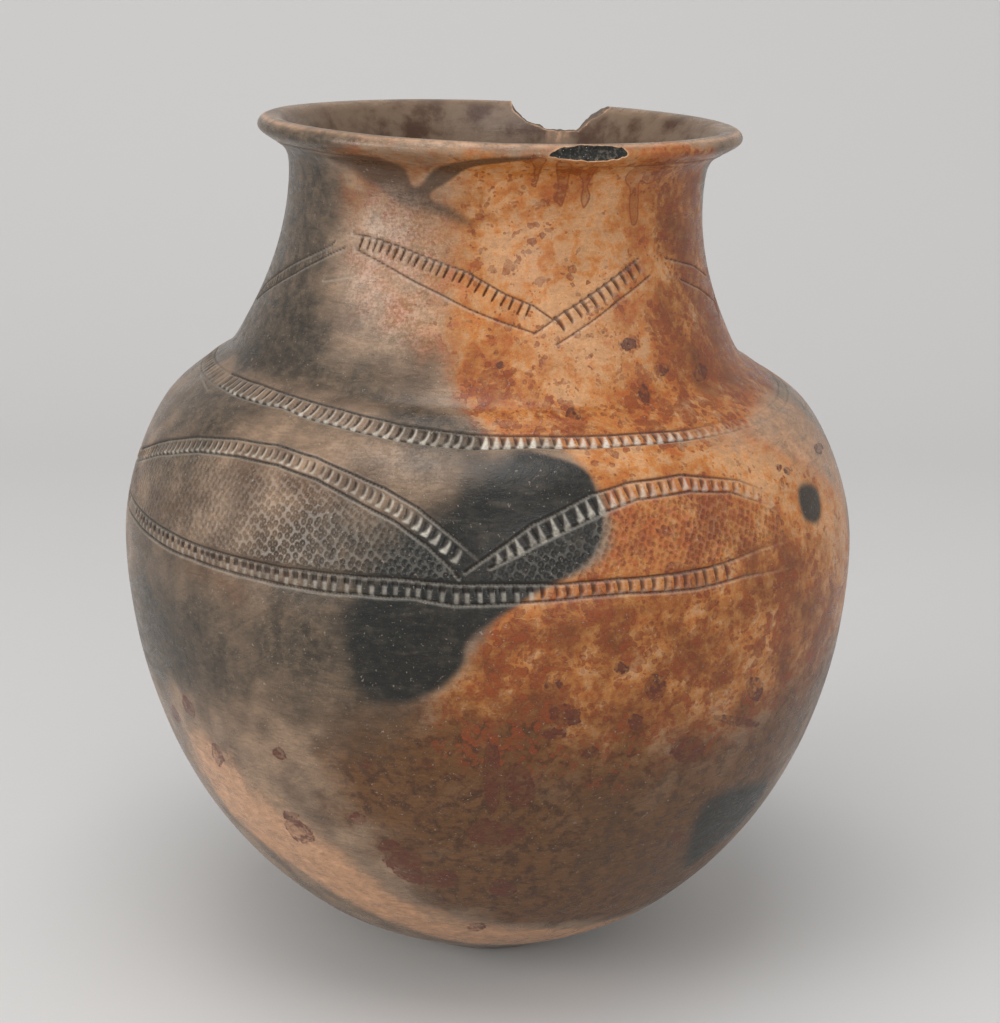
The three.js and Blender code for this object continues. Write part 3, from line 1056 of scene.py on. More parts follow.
class Firing:
    """Where the colours lie, as read off the photograph, and carried on round the back."""

    CLOUDS = {
        Layer.PALE: (
            Cloud(((690, 395, 10), (760, 385, 10), (815, 420, 8), (846, 480, 8), (848, 545, 10),
                   (800, 530, 14), (740, 470, 12), (690, 450, 8)), strength=0.6),
            Cloud(((200, 740, 14), (250, 790, 16), (330, 850, 14), (420, 912, 12), (540, 932, 8),
                   (650, 912, 8), (600, 942, 8), (500, 946, 6), (400, 925, 6), (300, 870, 8),
                   (215, 790, 8))),
            Cloud(((560, 200, 14), (600, 190, 10), (622, 210, 8), (618, 260, 12), (606, 330, 14),
                   (594, 385, 12), (545, 380, 12), (515, 345, 16), (500, 300, 16),
                   (520, 240, 18)), strength=0.95),
            Cloud(((420, 165, 12), (520, 160, 10), (510, 280, 16), (430, 300, 18),
                   (410, 220, 16)), strength=0.45),
            Cloud(((560, 440, 6), (700, 440, 8), (780, 470, 12), (700, 480, 8),
                   (600, 470, 8)), strength=0.4),
        ),
        Layer.EMBER: (
            Cloud(((448, 160, 16), (520, 152, 10), (712, 146, 6), (718, 250, 6), (745, 350, 6),
                   (760, 400, 6), (700, 432, 6), (600, 440, 5), (500, 436, 5), (470, 400, 12),
                   (452, 330, 18), (462, 250, 22))),
            Cloud(((560, 440, 6), (690, 440, 8), (770, 460, 12), (845, 500, 12), (850, 600, 14),
                   (810, 690, 22), (700, 740, 26), (600, 770, 30), (480, 760, 26), (440, 710, 14),
                   (480, 640, 6), (520, 600, 5), (600, 560, 5), (605, 500, 5))),
            Cloud(((330, 150, 10), (440, 150, 10), (450, 330, 16), (400, 350, 16), (350, 300, 14),
                   (340, 220, 12)), strength=0.45),
            Cloud(((180, 540, 16), (290, 560, 16), (290, 620, 18), (210, 610, 16)), strength=0.25),
            Cloud(hidden=((95, 150, 20), (150, 150, 25), (160, 240, 20), (120, 262, 16),
                          (90, 230, 16)), strength=0.8),
        ),
        Layer.RUST: (
            Cloud(((455, 380, 14), (540, 378, 14), (600, 400, 12), (590, 442, 8),
                   (470, 430, 12)), strength=0.6),
            Cloud(((650, 330, 12), (700, 320, 12), (750, 370, 8), (762, 410, 8),
                   (660, 436, 8)), strength=0.9),
            Cloud(((655, 150, 8), (716, 148, 6), (718, 250, 6), (748, 350, 6), (735, 400, 8),
                   (690, 340, 10), (668, 250, 10), (648, 190, 6)), strength=0.8),
            Cloud(((600, 495, 5), (700, 478, 8), (780, 500, 10), (790, 560, 12), (600, 575, 6),
                   (610, 530, 4)), strength=0.45),
            Cloud(((640, 400, 12), (740, 395, 10), (770, 425, 8), (700, 440, 6),
                   (610, 442, 6)), strength=0.5),
            Cloud(((500, 620, 10), (600, 585, 8), (760, 560, 16), (840, 590, 14), (815, 720, 20),
                   (700, 770, 24), (520, 780, 24), (450, 700, 16)), strength=0.5),
            Cloud(((500, 625, 8), (540, 600, 8), (610, 600, 12), (590, 680, 16),
                   (500, 690, 14)), strength=0.5),
            Cloud(((470, 720, 14), (540, 700, 14), (560, 800, 14), (520, 850, 12),
                   (470, 840, 12)), strength=0.7),
            Cloud(((370, 760, 20), (470, 740, 20), (470, 880, 16), (400, 880, 16)), strength=0.4),
            Cloud(((430, 170, 12), (520, 165, 14), (545, 250, 14), (520, 320, 14),
                   (450, 260, 14)), strength=0.3),
        ),
        Layer.UMBER: (
            Cloud(((455, 340, 14), (520, 350, 16), (600, 400, 14), (590, 440, 8),
                   (470, 432, 10)), strength=0.22),
            Cloud(((662, 165, 12), (716, 150, 8), (722, 250, 8), (752, 350, 8), (738, 395, 8),
                   (690, 380, 14), (662, 300, 14), (655, 220, 12)), strength=0.42),
            Cloud(((350, 160, 8), (440, 160, 12), (520, 215, 14), (440, 270, 16),
                   (350, 255, 10)), strength=0.36),
            Cloud(((700, 500, 14), (800, 530, 14), (846, 520, 8), (845, 620, 8),
                   (740, 600, 20)), strength=0.3),
            Cloud(((350, 690, 26), (470, 730, 24), (600, 760, 34), (720, 760, 30), (800, 690, 14),
                   (760, 800, 12), (690, 885, 8), (600, 920, 8), (480, 915, 10), (400, 870, 16),
                   (330, 790, 22)), strength=0.95),
            Cloud(((480, 640, 6), (600, 600, 16), (760, 600, 20), (845, 620, 14), (830, 720, 14),
                   (740, 780, 24), (560, 790, 24), (450, 710, 10)), strength=0.42),
            Cloud(((140, 440, 10), (250, 430, 12), (380, 480, 14), (440, 560, 10), (300, 580, 12),
                   (170, 560, 10)), strength=0.3),
            Cloud(((810, 640, 14), (840, 640, 10), (825, 700, 12), (790, 770, 14), (740, 790, 16),
                   (775, 710, 16)), strength=0.4),
        ),
        Layer.SMOKE: (
            Cloud(((742, 372, 8), (800, 400, 8), (846, 470, 8), (835, 470, 12),
                   (790, 430, 14)), strength=0.3),
            Cloud(((288, 145, 6), (318, 150, 16), (340, 190, 24), (340, 240, 22), (325, 290, 18),
                   (345, 345, 16), (372, 350, 16), (420, 392, 14), (478, 428, 8), (470, 440, 8),
                   (420, 436, 10), (330, 400, 10), (230, 366, 10)),
                  ((-95, 245, 14), (-120, 262, 16), (-120, 300, 16), (-95, 326, 12)), strength=0.92),
            Cloud(((250, 385, 10), (330, 385, 16), (385, 398, 14), (390, 432, 10),
                   (330, 430, 14)), strength=-0.5),
            Cloud(((225, 372, 8), (330, 410, 8), (440, 440, 8), (480, 445, 6), (440, 470, 14),
                   (400, 470, 18), (330, 445, 14), (220, 420, 12), (150, 430, 8)),
                  ((-95, 215, 14), (-125, 225, 18), (-120, 245, 14)), strength=0.5),
            Cloud(((200, 385, 6), (175, 420, 10), (150, 470, 12), (190, 480, 14), (240, 430, 14),
                   (250, 400, 8)), strength=0.55),
            Cloud(((128, 560, 10), (190, 590, 14), (235, 650, 16), (220, 700, 14), (170, 690, 10)),
                  ((-92, 110, 16), (-110, 130, 18), (-105, 180, 16)), strength=0.75),
            Cloud(((290, 560, 20), (420, 520, 12), (470, 575, 10), (400, 660, 18), (400, 720, 24),
                   (330, 740, 26), (250, 690, 26), (230, 630, 24)), strength=0.7),
            Cloud(((150, 520, 12), (330, 560, 16), (330, 700, 26), (220, 720, 22),
                   (140, 600, 10)), strength=0.25),
            Cloud(((330, 490, 18), (420, 470, 18), (480, 470, 14), (470, 560, 8), (440, 600, 14),
                   (330, 580, 16)), strength=0.6),
            Cloud(((335, 455, 12), (395, 458, 12), (390, 490, 12), (345, 480, 12)), strength=-0.5),
            Cloud(((135, 440, 8), (230, 450, 16), (300, 520, 16), (300, 570, 14),
                   (140, 570, 10)), strength=0.4),
            Cloud(((560, 790, 20), (700, 770, 22), (700, 870, 12), (620, 900, 12),
                   (560, 870, 16)), strength=0.3),
            Cloud(((262, 112, 3), (310, 128, 6), (360, 138, 10), (330, 146, 5),
                   (285, 142, 3)), strength=0.85),
            Cloud(hidden=((130, 60, 20), (175, 50, 20), (230, 90, 24), (215, 190, 26),
                          (165, 170, 20)), strength=0.9),
            Cloud(hidden=((160, 262, 14), (205, 256, 16), (225, 300, 14), (185, 322, 12)), strength=0.8),
        ),
        # Painted sheen: the lamps' highlights on the burnished neck, shoulder and belly, and thin highlight
        # lines along the lip's top.
        Layer.PAINTED_SHEEN: (
            Cloud(((365, 205, 8), (420, 195, 10), (445, 240, 12), (440, 330, 14), (400, 350, 12),
                   (352, 310, 8), (350, 240, 8))),
            Cloud(((540, 330, 10), (620, 330, 10), (600, 380, 14), (560, 370, 14)), strength=0.5),
            Cloud(((330, 440, 8), (430, 450, 8), (420, 490, 10), (370, 480, 10)), strength=0.4),
            # Painted highlight lines along the front of the lip's top.
            Cloud(((345, 139, 2), (450, 142, 1.5), (545, 141, 1.5), (545, 145, 1.5), (450, 146, 1.5),
                   (345, 142, 1.5)), strength=0.8, ragged=0.6),
            Cloud(((620, 142, 1.5), (690, 139, 1.5), (690, 142, 1.5),
                   (620, 146, 1.5)), strength=0.5, ragged=0.6),
            Cloud(((150, 700, 10), (220, 740, 14), (260, 800, 14), (330, 860, 10),
                   (250, 820, 8)), strength=0.3),
        ),
        Layer.SMEAR: (
            Cloud(((328, 158, 4), (360, 156, 4), (400, 165, 3), (416, 186, 1.5), (440, 168, 1.5),
                   (480, 160, 1.5), (548, 156, 2), (520, 163, 1), (478, 168, 1), (455, 180, 1),
                   (432, 196, 1), (450, 206, 3), (472, 224, 4), (440, 216, 5), (405, 208, 5),
                   (385, 192, 4), (360, 176, 4)), strength=0.95, ragged=0.6),
        ),
        Layer.SOOT: (
            Cloud(((492, 460, 16), (520, 450, 6), (548, 452, 2.6), (575, 460, 2.2), (592, 472, 2.0),
                   (601, 495, 1.8), (607, 518, 1.6), (603, 545, 2.0), (585, 568, 2.4), (548, 588, 2.6),
                   (520, 606, 2.8), (492, 626, 3.2), (472, 645, 3), (466, 668, 3), (444, 688, 4),
                   (408, 702, 4), (376, 700, 6), (352, 684, 9), (344, 650, 12), (348, 618, 14),
                   (362, 590, 14), (378, 562, 16), (404, 536, 18), (436, 512, 18),
                   (464, 488, 18)), ragged=1.6),
            Cloud(((300, 300, 16), (330, 330, 14), (300, 380, 10), (235, 362, 8),
                   (250, 330, 12)), strength=0.5),
            Cloud(((365, 340, 10), (400, 355, 12), (440, 390, 10), (405, 395, 12),
                   (375, 370, 10)), strength=0.3),
            Cloud(hidden=((165, 75, 10), (200, 70, 10), (215, 120, 12), (190, 150, 10),
                          (168, 120, 10)), strength=0.9),
        ),
        Layer.MOSS: (
            Cloud(((803, 484, 1.8), (818, 486, 2.2), (824, 505, 2.2), (821, 522, 1.6), (808, 520, 1.8),
                   (801, 500, 1.8)), ragged=0.9),
            Cloud(((712, 800, 4), (742, 788, 4), (770, 784, 3), (748, 818, 3), (715, 848, 4),
                   (688, 868, 3), (692, 835, 4)), strength=0.97, ragged=1.6),
            Cloud(((145, 590, 10), (200, 620, 14), (205, 680, 14), (165, 665, 8)), strength=0.4),
        ),
    }
    BLOTS = (
        (300, 832, 18, 9, 35), (292, 817, 9, 5, 20), (404, 862, 18, 12, 10), (390, 848, 10, 7),
        (444, 880, 15, 8), (412, 876, 20, 7, 20), (497, 834, 26, 10), (486, 828, 8, 6),
        (521, 786, 15, 20, -15), (494, 776, 9, 34), (566, 716, 17, 11), (556, 735, 13, 6),
        (657, 688, 11, 14), (691, 750, 16, 12), (638, 724, 7, 9), (592, 753, 10, 5, -20),
        (680, 838, 6, 5), (218, 756, 5, 12, -20), (280, 755, 6, 4, 30), (366, 765, 9, 5),
        (358, 820, 8, 5, 20), (505, 890, 12, 8), (478, 928, 9, 4), (189, 708, 4, 10, -25),
        (176, 715, 3, 9, -25), (632, 344, 9, 7), (551, 688, 6, 6), (561, 685, 5, 4), (757, 690, 8, 11),
        (501, 365, 8, 5), (575, 413, 7, 7), (790, 470, 5, 3, 20), (664, 368, 9, 8), (703, 372, 8, 10),
        (782, 467, 5, 4, 20), (822, 447, 4, 5), (624, 667, 6, 5), (741, 722, 22, 5, 8),
        (647, 395, 5, 12, -15),
    )
    DRIPS = (
        ((533, 160), (548, 160), (544, 168), (541, 175), (539.5, 182), (536.5, 178), (537, 169)),
        ((559, 164), (574, 166), (571, 178), (569, 190), (564, 206), (560, 203), (556, 198), (561, 188)),
        ((583, 174), (600, 168), (594, 178), (590, 187), (592, 197), (586, 208), (584, 196), (586, 186)),
        ((628, 180), (642, 168), (664, 164), (666, 174), (652, 184), (643, 182), (641, 200), (640, 220),
         (635, 224), (632, 208), (633, 190)),
    )

    def __init__(self, paint: FireMap) -> None:
        """Args:
        paint: the map that takes the colours.
        """
        self.paint = paint

    def lay(self) -> None:
        """Lays every cloud and stain."""
        for layer, clouds in self.CLOUDS.items():
            for cloud in clouds:
                self.paint.add(layer, cloud)
        for blot in self.BLOTS:
            self.paint.blot(Blot(*blot))
        for pixels in self.DRIPS:
            self.paint.drip(pixels)


class Nodes:
    """Short ways to add nodes to one tree."""

    def __init__(self, tree: bpy.types.NodeTree) -> None:
        """Args:
        tree: the node tree that is added to.
        """
        self.tree = tree

    def add(self, kind: str, inputs: Optional[dict] = None, **settings: object) -> bpy.types.Node:
        """A new node.

        Args:
            kind: its type.
            inputs: a socket or a value for each of its inputs that is set, by name or number.
            settings: its other settings.

        Returns:
            The node.
        """
        node = self.tree.nodes.new(kind)
        for name, value in settings.items():
            setattr(node, name, value)
        for name, value in (inputs or {}).items():
            self.put(node.inputs[name], value)
        return node

    def put(self, socket: Socket, value: object) -> None:
        """Links a socket to another, or sets it to a value."""
        if isinstance(value, Socket):
            self.tree.links.new(value, socket)
        else:
            socket.default_value = value

    def math(self, operation: str, first: object, second: object = 0.0) -> Socket:
        """One sum."""
        return self.add("ShaderNodeMath", {0: first, 1: second}, operation=operation).outputs[0]

    def times(self, first: object, second: object) -> Socket:
        """Two values multiplied."""
        return self.math("MULTIPLY", first, second)

    def plus(self, first: object, second: object) -> Socket:
        """Two values added."""
        return self.math("ADD", first, second)

    def less(self, first: object, second: object) -> Socket:
        """The second value taken from the first."""
        return self.math("SUBTRACT", first, second)

    def blend(self, first: object, second: object, share: float = 0.5) -> Socket:
        """A share of the first value and the rest of the second."""
        return self.plus(self.times(first, share), self.times(second, 1 - share))

    def ramp(self, value: object, low: float, high: float, start: float = 0.0,
             end: float = 1.0) -> Socket:
        """A smooth change from start to end while the value goes from low to high."""
        inputs = dict(enumerate((value, low, high, start, end)))
        return self.add("ShaderNodeMapRange", inputs, interpolation_type="SMOOTHSTEP").outputs[0]

    def mix(self, share: object, first: object, second: object, blend: str = "MIX") -> Socket:
        """Two colours mixed."""
        inputs = {0: share, 6: first, 7: second}
        return self.add("ShaderNodeMix", inputs, data_type="RGBA", blend_type=blend).outputs[2]

    def scale(self, value: object, stops: Sequence[tuple[float, tuple]]) -> Socket:
        """A colour for each value, from stops in rising order."""
        node = self.add("ShaderNodeValToRGB", {0: value})
        marks = node.color_ramp.elements
        for number, (place, colour) in enumerate(stops):
            mark = marks[number] if number < len(marks) else marks.new(place)
            mark.position = place
            mark.color = colour
        return node.outputs[0]

    def noise(self, place: object, scale: float, detail: float = 4.0, rough: float = 0.55,
              twist: float = 0.0) -> Socket:
        """Smooth noise, about 0.5."""
        inputs = {"Vector": place, "Scale": scale, "Detail": detail, "Roughness": rough,
                  "Distortion": twist}
        return self.add("ShaderNodeTexNoise", inputs).outputs[0]

    def mapped(self, place: object, **inputs: tuple[float, float, float]) -> Socket:
        """Coordinates turned by a Rotation and scaled by a Scale."""
        return self.add("ShaderNodeMapping", {"Vector": place, **inputs}).outputs[0]

    def place(self) -> Socket:
        """The piece's own coordinates, in metres."""
        return self.add("ShaderNodeTexCoord").outputs["Object"]

    def layer(self, name: str) -> Socket:
        """A value that the mesh carries."""
        return self.add("ShaderNodeAttribute", attribute_name=name).outputs["Fac"]

    def bump(self, height: object, depth: float, normal: Optional[Socket] = None) -> Socket:
        """A bump of a given depth in metres."""
        inputs = {"Distance": depth, "Height": height}
        if normal is not None:
            inputs["Normal"] = normal
        return self.add("ShaderNodeBump", inputs).outputs[0]


def group(name: str, outputs: Sequence[str], build: Callable[[Nodes, object], dict]) -> bpy.types.NodeTree:
    """A node group that takes a place and puts out values.

    Args:
        name: its name.
        outputs: the names of the values.
        build: makes the nodes, and returns a socket for each name.

    Returns:
        The group.
    """
    tree = bpy.data.node_groups.new(name, "ShaderNodeTree")
    tree.interface.new_socket("Place", in_out="INPUT", socket_type="NodeSocketVector")
    for item in outputs:
        tree.interface.new_socket(item, in_out="OUTPUT", socket_type="NodeSocketFloat")
    start, end = tree.nodes.new("NodeGroupInput"), tree.nodes.new("NodeGroupOutput")
    made = build(Nodes(tree), start.outputs[0])
    for item in outputs:
        tree.links.new(made[item], end.inputs[item])
    return tree


def grit(nodes: Nodes, place: object) -> dict:
    """The body of the clay: grains, pores and a fine tooth."""
    grains = nodes.add("ShaderNodeTexVoronoi", {"Vector": place, "Scale": 620.0}, feature="F1")
    pores = nodes.ramp(nodes.noise(place, 900.0, 2.0), 0.66, 0.76)
    tooth = nodes.noise(place, 1500.0, 5.0, 0.6)
    return {"Grains": nodes.ramp(grains.outputs["Distance"], 0.12, 0.03), "Pores": pores, "Tooth": tooth}


def puddles(nodes: Nodes, place: object, size: float, lobe: float) -> Socket:
    """A field whose level lines are puddles with scalloped edges, as drying drops leave.

    Args:
        nodes: the group's nodes.
        place: the coordinates.
        size: how many puddles there are to a metre.
        lobe: how many lobes there are to a metre.

    Returns:
        Values about 0.5.
    """
    inputs = {"Vector": place, "Scale": lobe, "Smoothness": 0.1}
    cells = nodes.add("ShaderNodeTexVoronoi", inputs, feature="SMOOTH_F1")
    lobes = nodes.times(nodes.less(0.45, cells.outputs["Distance"]), 0.3)
    return nodes.plus(nodes.noise(place, size, 4.0, 0.55), lobes)


def mottling(nodes: Nodes, place: object) -> dict:
    """Clouding at two sizes, puddles at two sizes, and flecks."""
    warp = nodes.add("ShaderNodeTexNoise", {"Vector": place, "Scale": 90.0, "Detail": 3.0})
    inputs = {0: warp.outputs["Color"], "Scale": 0.005}
    offset = nodes.add("ShaderNodeVectorMath", inputs, operation="SCALE").outputs[0]
    bent = nodes.add("ShaderNodeVectorMath", {0: place, 1: offset}, operation="ADD").outputs[0]
    return {
        "Middle": nodes.noise(bent, 60.0, 9.0, 0.6),
        "Small": nodes.noise(bent, 240.0, 6.0, 0.64),
        "Puddles": puddles(nodes, bent, 75.0, 290.0),
        "Drops": puddles(nodes, bent, 190.0, 560.0),
        "Flecks": nodes.noise(place, 820.0, 3.0, 0.62),
    }


def strokes(nodes: Nodes, place: object) -> dict:
    """The marks of the burnishing pebble, which ran round the pot."""
    slanting = nodes.mapped(place, Rotation=(0.0, math.radians(38), 0.0))
    level = nodes.noise(nodes.mapped(place, Scale=(80.0, 80.0, 300.0)), 1.0, 5.0, 0.62, 1.0)
    slanted = nodes.noise(nodes.mapped(slanting, Scale=(70.0, 90.0, 420.0)), 1.0, 5.0, 0.62, 1.0)
    where = nodes.ramp(nodes.noise(place, 14.0, 2.0), 0.52, 0.66)
    both = nodes.add("ShaderNodeMix", {0: where, 2: level, 3: slanted}, data_type="FLOAT")
    fine = nodes.noise(nodes.mapped(place, Scale=(240.0, 240.0, 1300.0)), 1.0, 3.0, 0.6, 0.4)
    scratch = nodes.noise(nodes.mapped(slanting, Scale=(60.0, 60.0, 1500.0)), 1.0, 2.0, 0.5, 1.6)
    return {"Long": both.outputs[0], "Fine": fine, "Scratches": nodes.ramp(scratch, 0.74, 0.8)}


@dataclass(frozen=True)
class BurnishedClay:
    """The finish of the whole outside and inside: rubbed, fired clay without any glaze."""

    tan: tuple = linear(136, 112, 91)
    brown: tuple = linear(100, 82, 67)
    pale: tuple = linear(184, 139, 105)
    hazel: tuple = linear(100, 66, 35)
    umber: tuple = linear(66, 39, 20)
    gold: tuple = linear(194, 143, 98)
    ochre: tuple = linear(174, 112, 56)
    orange: tuple = linear(150, 80, 34)
    rust: tuple = linear(122, 58, 26)
    liver: tuple = linear(86, 44, 30)
    smoke: tuple = linear(54, 48, 40)
    ash: tuple = linear(86, 72, 58)
    # Pale pink: the colour of the painted sheen, and of the pale flecks and burnishing scratches.
    frost: tuple = linear(200, 178, 160)
    smear: tuple = linear(66, 48, 35)
    soot: tuple = linear(25, 27, 25)
    moss: tuple = linear(28, 31, 28)
    # Chalk white: the pale earth and painted highlights in the notches, the pale ridges of the net, and
    # pale grits.
    chalk_and_highlight: tuple = linear(204, 196, 182)
    # Pale pink: a painted highlight along the lip's top, the pale line where a break meets the skin, and
    # the net's pale ridges.
    wear_and_sheen: tuple = linear(206, 160, 126)
    # A near-black brown, for the pores and for the cuts and pits that are darkened by their depth.
    dark_brown: tuple = linear(34, 27, 22)
    sienna: tuple = linear(78, 40, 22)
    lining: tuple = linear(108, 88, 70)
    roughness: float = 0.32
    sheen: float = 0.33
    net_pitch: float = 2.4
    net_turn: float = 0.5

    def colours(self, nodes: Nodes, clouding: dict, stroke: dict, grain: dict,
                net: Socket) -> Socket:
        """Lays the colours over one another.

        Args:
            nodes: the material's nodes.
            clouding: the values of the mottling group.
            stroke: the values of the burnishing group.
            grain: the values of the grit group.
            net: the distance from the nearest pit of the net.

        Returns:
            The finished colour.
        """
        layers = {layer: nodes.layer(layer.value) for layer in Layer}
        shift = nodes.times(nodes.less(clouding["Middle"], 0.5), 1.3)
        tint = nodes.mix(nodes.ramp(clouding["Middle"], 0.4, 0.62), self.tan, self.brown)
        tint = self.over(nodes, tint, layers[Layer.PALE], shift, self.pale, 0.85)
        fired = self.fired(nodes, layers, clouding)
        tint = self.over(nodes, tint, layers[Layer.EMBER], shift, fired, 1.0)
        umber = nodes.mix(nodes.ramp(clouding["Small"], 0.42, 0.62), self.hazel, self.umber)
        tint = self.over(nodes, tint, layers[Layer.UMBER], shift, umber, 0.95)
        tint = self.puddled(nodes, tint, layers, clouding)
        smoky = nodes.mix(nodes.ramp(clouding["Small"], 0.32, 0.68), self.smoke, self.ash)
        soft = nodes.times(shift, 0.45)
        tint = self.over(nodes, tint, layers[Layer.SMOKE], soft, smoky, 0.95)
        tint = self.over(nodes, tint, layers[Layer.SMEAR], nodes.times(shift, 0.4), self.smear, 0.85)
        tint = self.marked(nodes, tint, clouding)
        # The painted sheen: a pale speckle where the lamps' highlights lie on the burnished face.
        speckled_sheen = nodes.ramp(nodes.blend(clouding["Flecks"], clouding["Small"]), 0.42, 0.6)
        speckled_sheen = nodes.times(speckled_sheen, layers[Layer.PAINTED_SHEEN])
        tint = nodes.mix(nodes.times(speckled_sheen, 0.3), tint, self.frost)
        scuffed = nodes.blend(clouding["Small"], stroke["Long"])
        sooty = nodes.mix(nodes.ramp(scuffed, 0.47, 0.68, 0.0, 0.8), self.soot, self.smoke)
        tint = self.over(nodes, tint, layers[Layer.SOOT], nodes.times(shift, 0.4), sooty, 0.97)
        tint = nodes.mix(nodes.times(layers[Layer.MOSS], 0.95), tint, self.moss)
        wiped = nodes.ramp(layers[Layer.EMBER], 0.1, 0.9, 1.0, 0.35)
        for value, share, least, most in (
            (clouding["Small"], 1.0, 0.84, 1.16),
            (stroke["Long"], wiped, 0.86, 1.14),
            (clouding["Flecks"], 1.0, 0.88, 1.12),
            (stroke["Fine"], wiped, 0.88, 1.12),
        ):
            grey = self.grey(nodes, nodes.ramp(value, 0.3, 0.7, least, most))
            tint = nodes.mix(share, tint, grey, "MULTIPLY")
        for share, colour in (
            (nodes.ramp(clouding["Flecks"], 0.6, 0.7, 0.0, 0.4), self.umber),
            (nodes.ramp(clouding["Flecks"], 0.37, 0.28, 0.0, 0.3), self.frost),
            (nodes.times(stroke["Scratches"], 0.2), self.frost),
            (nodes.times(grain["Grains"], 0.16), self.chalk_and_highlight),
            (nodes.times(grain["Pores"], 0.3), self.dark_brown),
        ):
            tint = nodes.mix(share, tint, colour)
        lining = nodes.mix(nodes.ramp(clouding["Middle"], 0.4, 0.65), self.lining, self.umber)
        tint = nodes.mix(nodes.layer("inside"), tint, lining)
        return self.used(nodes, tint, layers, clouding, net)

    def used(self, nodes: Nodes, tint: Socket, layers: dict, clouding: dict, net: Socket) -> Socket:
        """Lays a painted highlight along the lip's top, the pale line where a break meets the skin, and the
        carving's darkening, pale ridges, pale earth and painted highlights.

        Args:
            nodes: the material's nodes.
            tint: the colour below.
            layers: the layers' values.
            clouding: the values of the mottling group.
            net: the distance from the nearest pit of the net.

        Returns:
            The mixed colour.
        """
        # A painted highlight along the lip's top, weaker where the smoke lies, and the pale line where a
        # break meets the skin.
        crest = nodes.times(nodes.layer("crest"), nodes.ramp(clouding["Small"], 0.35, 0.6, 0.15, 0.6))
        crest = nodes.times(crest, nodes.ramp(layers[Layer.SMOKE], 0.1, 0.8, 1.0, 0.25))
        edge = nodes.times(nodes.layer("edge"), nodes.ramp(clouding["Small"], 0.4, 0.6, 0.2, 0.8))
        tint = nodes.mix(nodes.math("MAXIMUM", crest, edge), tint, self.wear_and_sheen)
        # The cuts are darker by their depth, the net's pits darker and its ridges paler.
        groove = nodes.ramp(nodes.layer("groove"), 0.05, 0.6, 0.0, 0.85)
        warm = nodes.mix(layers[Layer.EMBER], self.dark_brown, self.sienna)
        deep = nodes.mix(layers[Layer.SOOT], warm, self.dark_brown)
        tint = nodes.mix(groove, tint, deep)
        pit = nodes.times(nodes.ramp(net, 0.4, 0.12, 0.0, 0.3), nodes.layer("net"))
        tint = nodes.mix(pit, tint, deep)
        ridge = nodes.times(nodes.ramp(net, 0.42, 0.62, 0.0, 0.12), nodes.layer("net"))
        tint = nodes.mix(ridge, tint, nodes.mix(layers[Layer.EMBER], self.chalk_and_highlight, self.wear_and_sheen))
        # Pale earth in the cuts, with painted highlights on the notches' lit faces.
        chalk_and_highlight = nodes.times(nodes.layer("chalk_and_highlight"), nodes.ramp(clouding["Flecks"], 0.3, 0.6, 0.55, 1.0))
        return nodes.mix(chalk_and_highlight, tint, self.chalk_and_highlight)

    def netting(self, nodes: Nodes) -> Socket:
        """How far each place is from the middle of the nearest pit of the net, on the unrolled wall."""
        flat = nodes.add("ShaderNodeCombineXYZ", {0: nodes.layer("across"), 1: nodes.layer("along")})
        turned = nodes.mapped(flat.outputs[0], Rotation=(0.0, 0.0, self.net_turn), Scale=(1.0, 0.9, 1.0))
        inputs = {"Vector": turned, "Scale": 1 / self.net_pitch, "Randomness": 0.5}
        pits = nodes.add("ShaderNodeTexVoronoi", inputs, feature="F1", voronoi_dimensions="2D")
        return pits.outputs["Distance"]

    def over(self, nodes: Nodes, tint: object, layer: object, shift: object, colour: object,
             most: float) -> Socket:
        """Lays a colour over another where a layer lies, with an edge that follows the clouding.

        Args:
            nodes: the material's nodes.
            tint: the colour below.
            layer: the layer's value.
            shift: the clouding, about 0.
            colour: the colour on top.
            most: how much of it there is where the layer is full.

        Returns:
            The mixed colour.
        """
        value = nodes.ramp(nodes.plus(layer, shift), 0.1, 0.9, 0.0, most)
        return nodes.mix(nodes.times(value, nodes.ramp(layer, 0.0, 0.2)), tint, colour)

    def fired(self, nodes: Nodes, layers: dict, clouding: dict) -> Socket:
        """The colours of the side that the flame reached, from gold to orange."""
        heat = nodes.blend(clouding["Middle"], clouding["Small"], 0.55)
        heat = nodes.plus(heat, nodes.times(layers[Layer.RUST], 0.07))
        heat = nodes.less(heat, nodes.times(layers[Layer.PALE], 0.09))
        return nodes.scale(heat, ((0.4, self.gold), (0.49, self.ochre), (0.6, self.orange)))

    def puddled(self, nodes: Nodes, tint: object, layers: dict, clouding: dict) -> Socket:
        """Lays the red-brown puddles and drops, more where the rust lies, each with a darker rim."""
        fired = nodes.ramp(layers[Layer.EMBER], 0.1, 0.7)
        fired = nodes.times(fired, nodes.ramp(layers[Layer.SOOT], 0.0, 0.5, 1.0, 0.0))
        wet = nodes.times(layers[Layer.RUST], 0.13)
        wet = nodes.less(wet, nodes.times(layers[Layer.PALE], 0.04))
        patchy = nodes.ramp(clouding["Small"], 0.36, 0.6, 0.45, 1.0)
        for name, level, fill, rim in (("Puddles", 0.63, 0.75, 0.6), ("Drops", 0.635, 0.7, 0.45)):
            field = nodes.plus(clouding[name], wet)
            share = nodes.times(nodes.ramp(field, level - 0.015, level + 0.015, 0.0, fill), fired)
            tint = nodes.mix(nodes.times(share, patchy), tint, self.rust)
            edge = nodes.math("ABSOLUTE", nodes.less(field, level))
            share = nodes.times(nodes.ramp(edge, 0.018, 0.004, 0.0, rim), fired)
            tint = nodes.mix(nodes.times(share, patchy), tint, self.liver)
        return tint

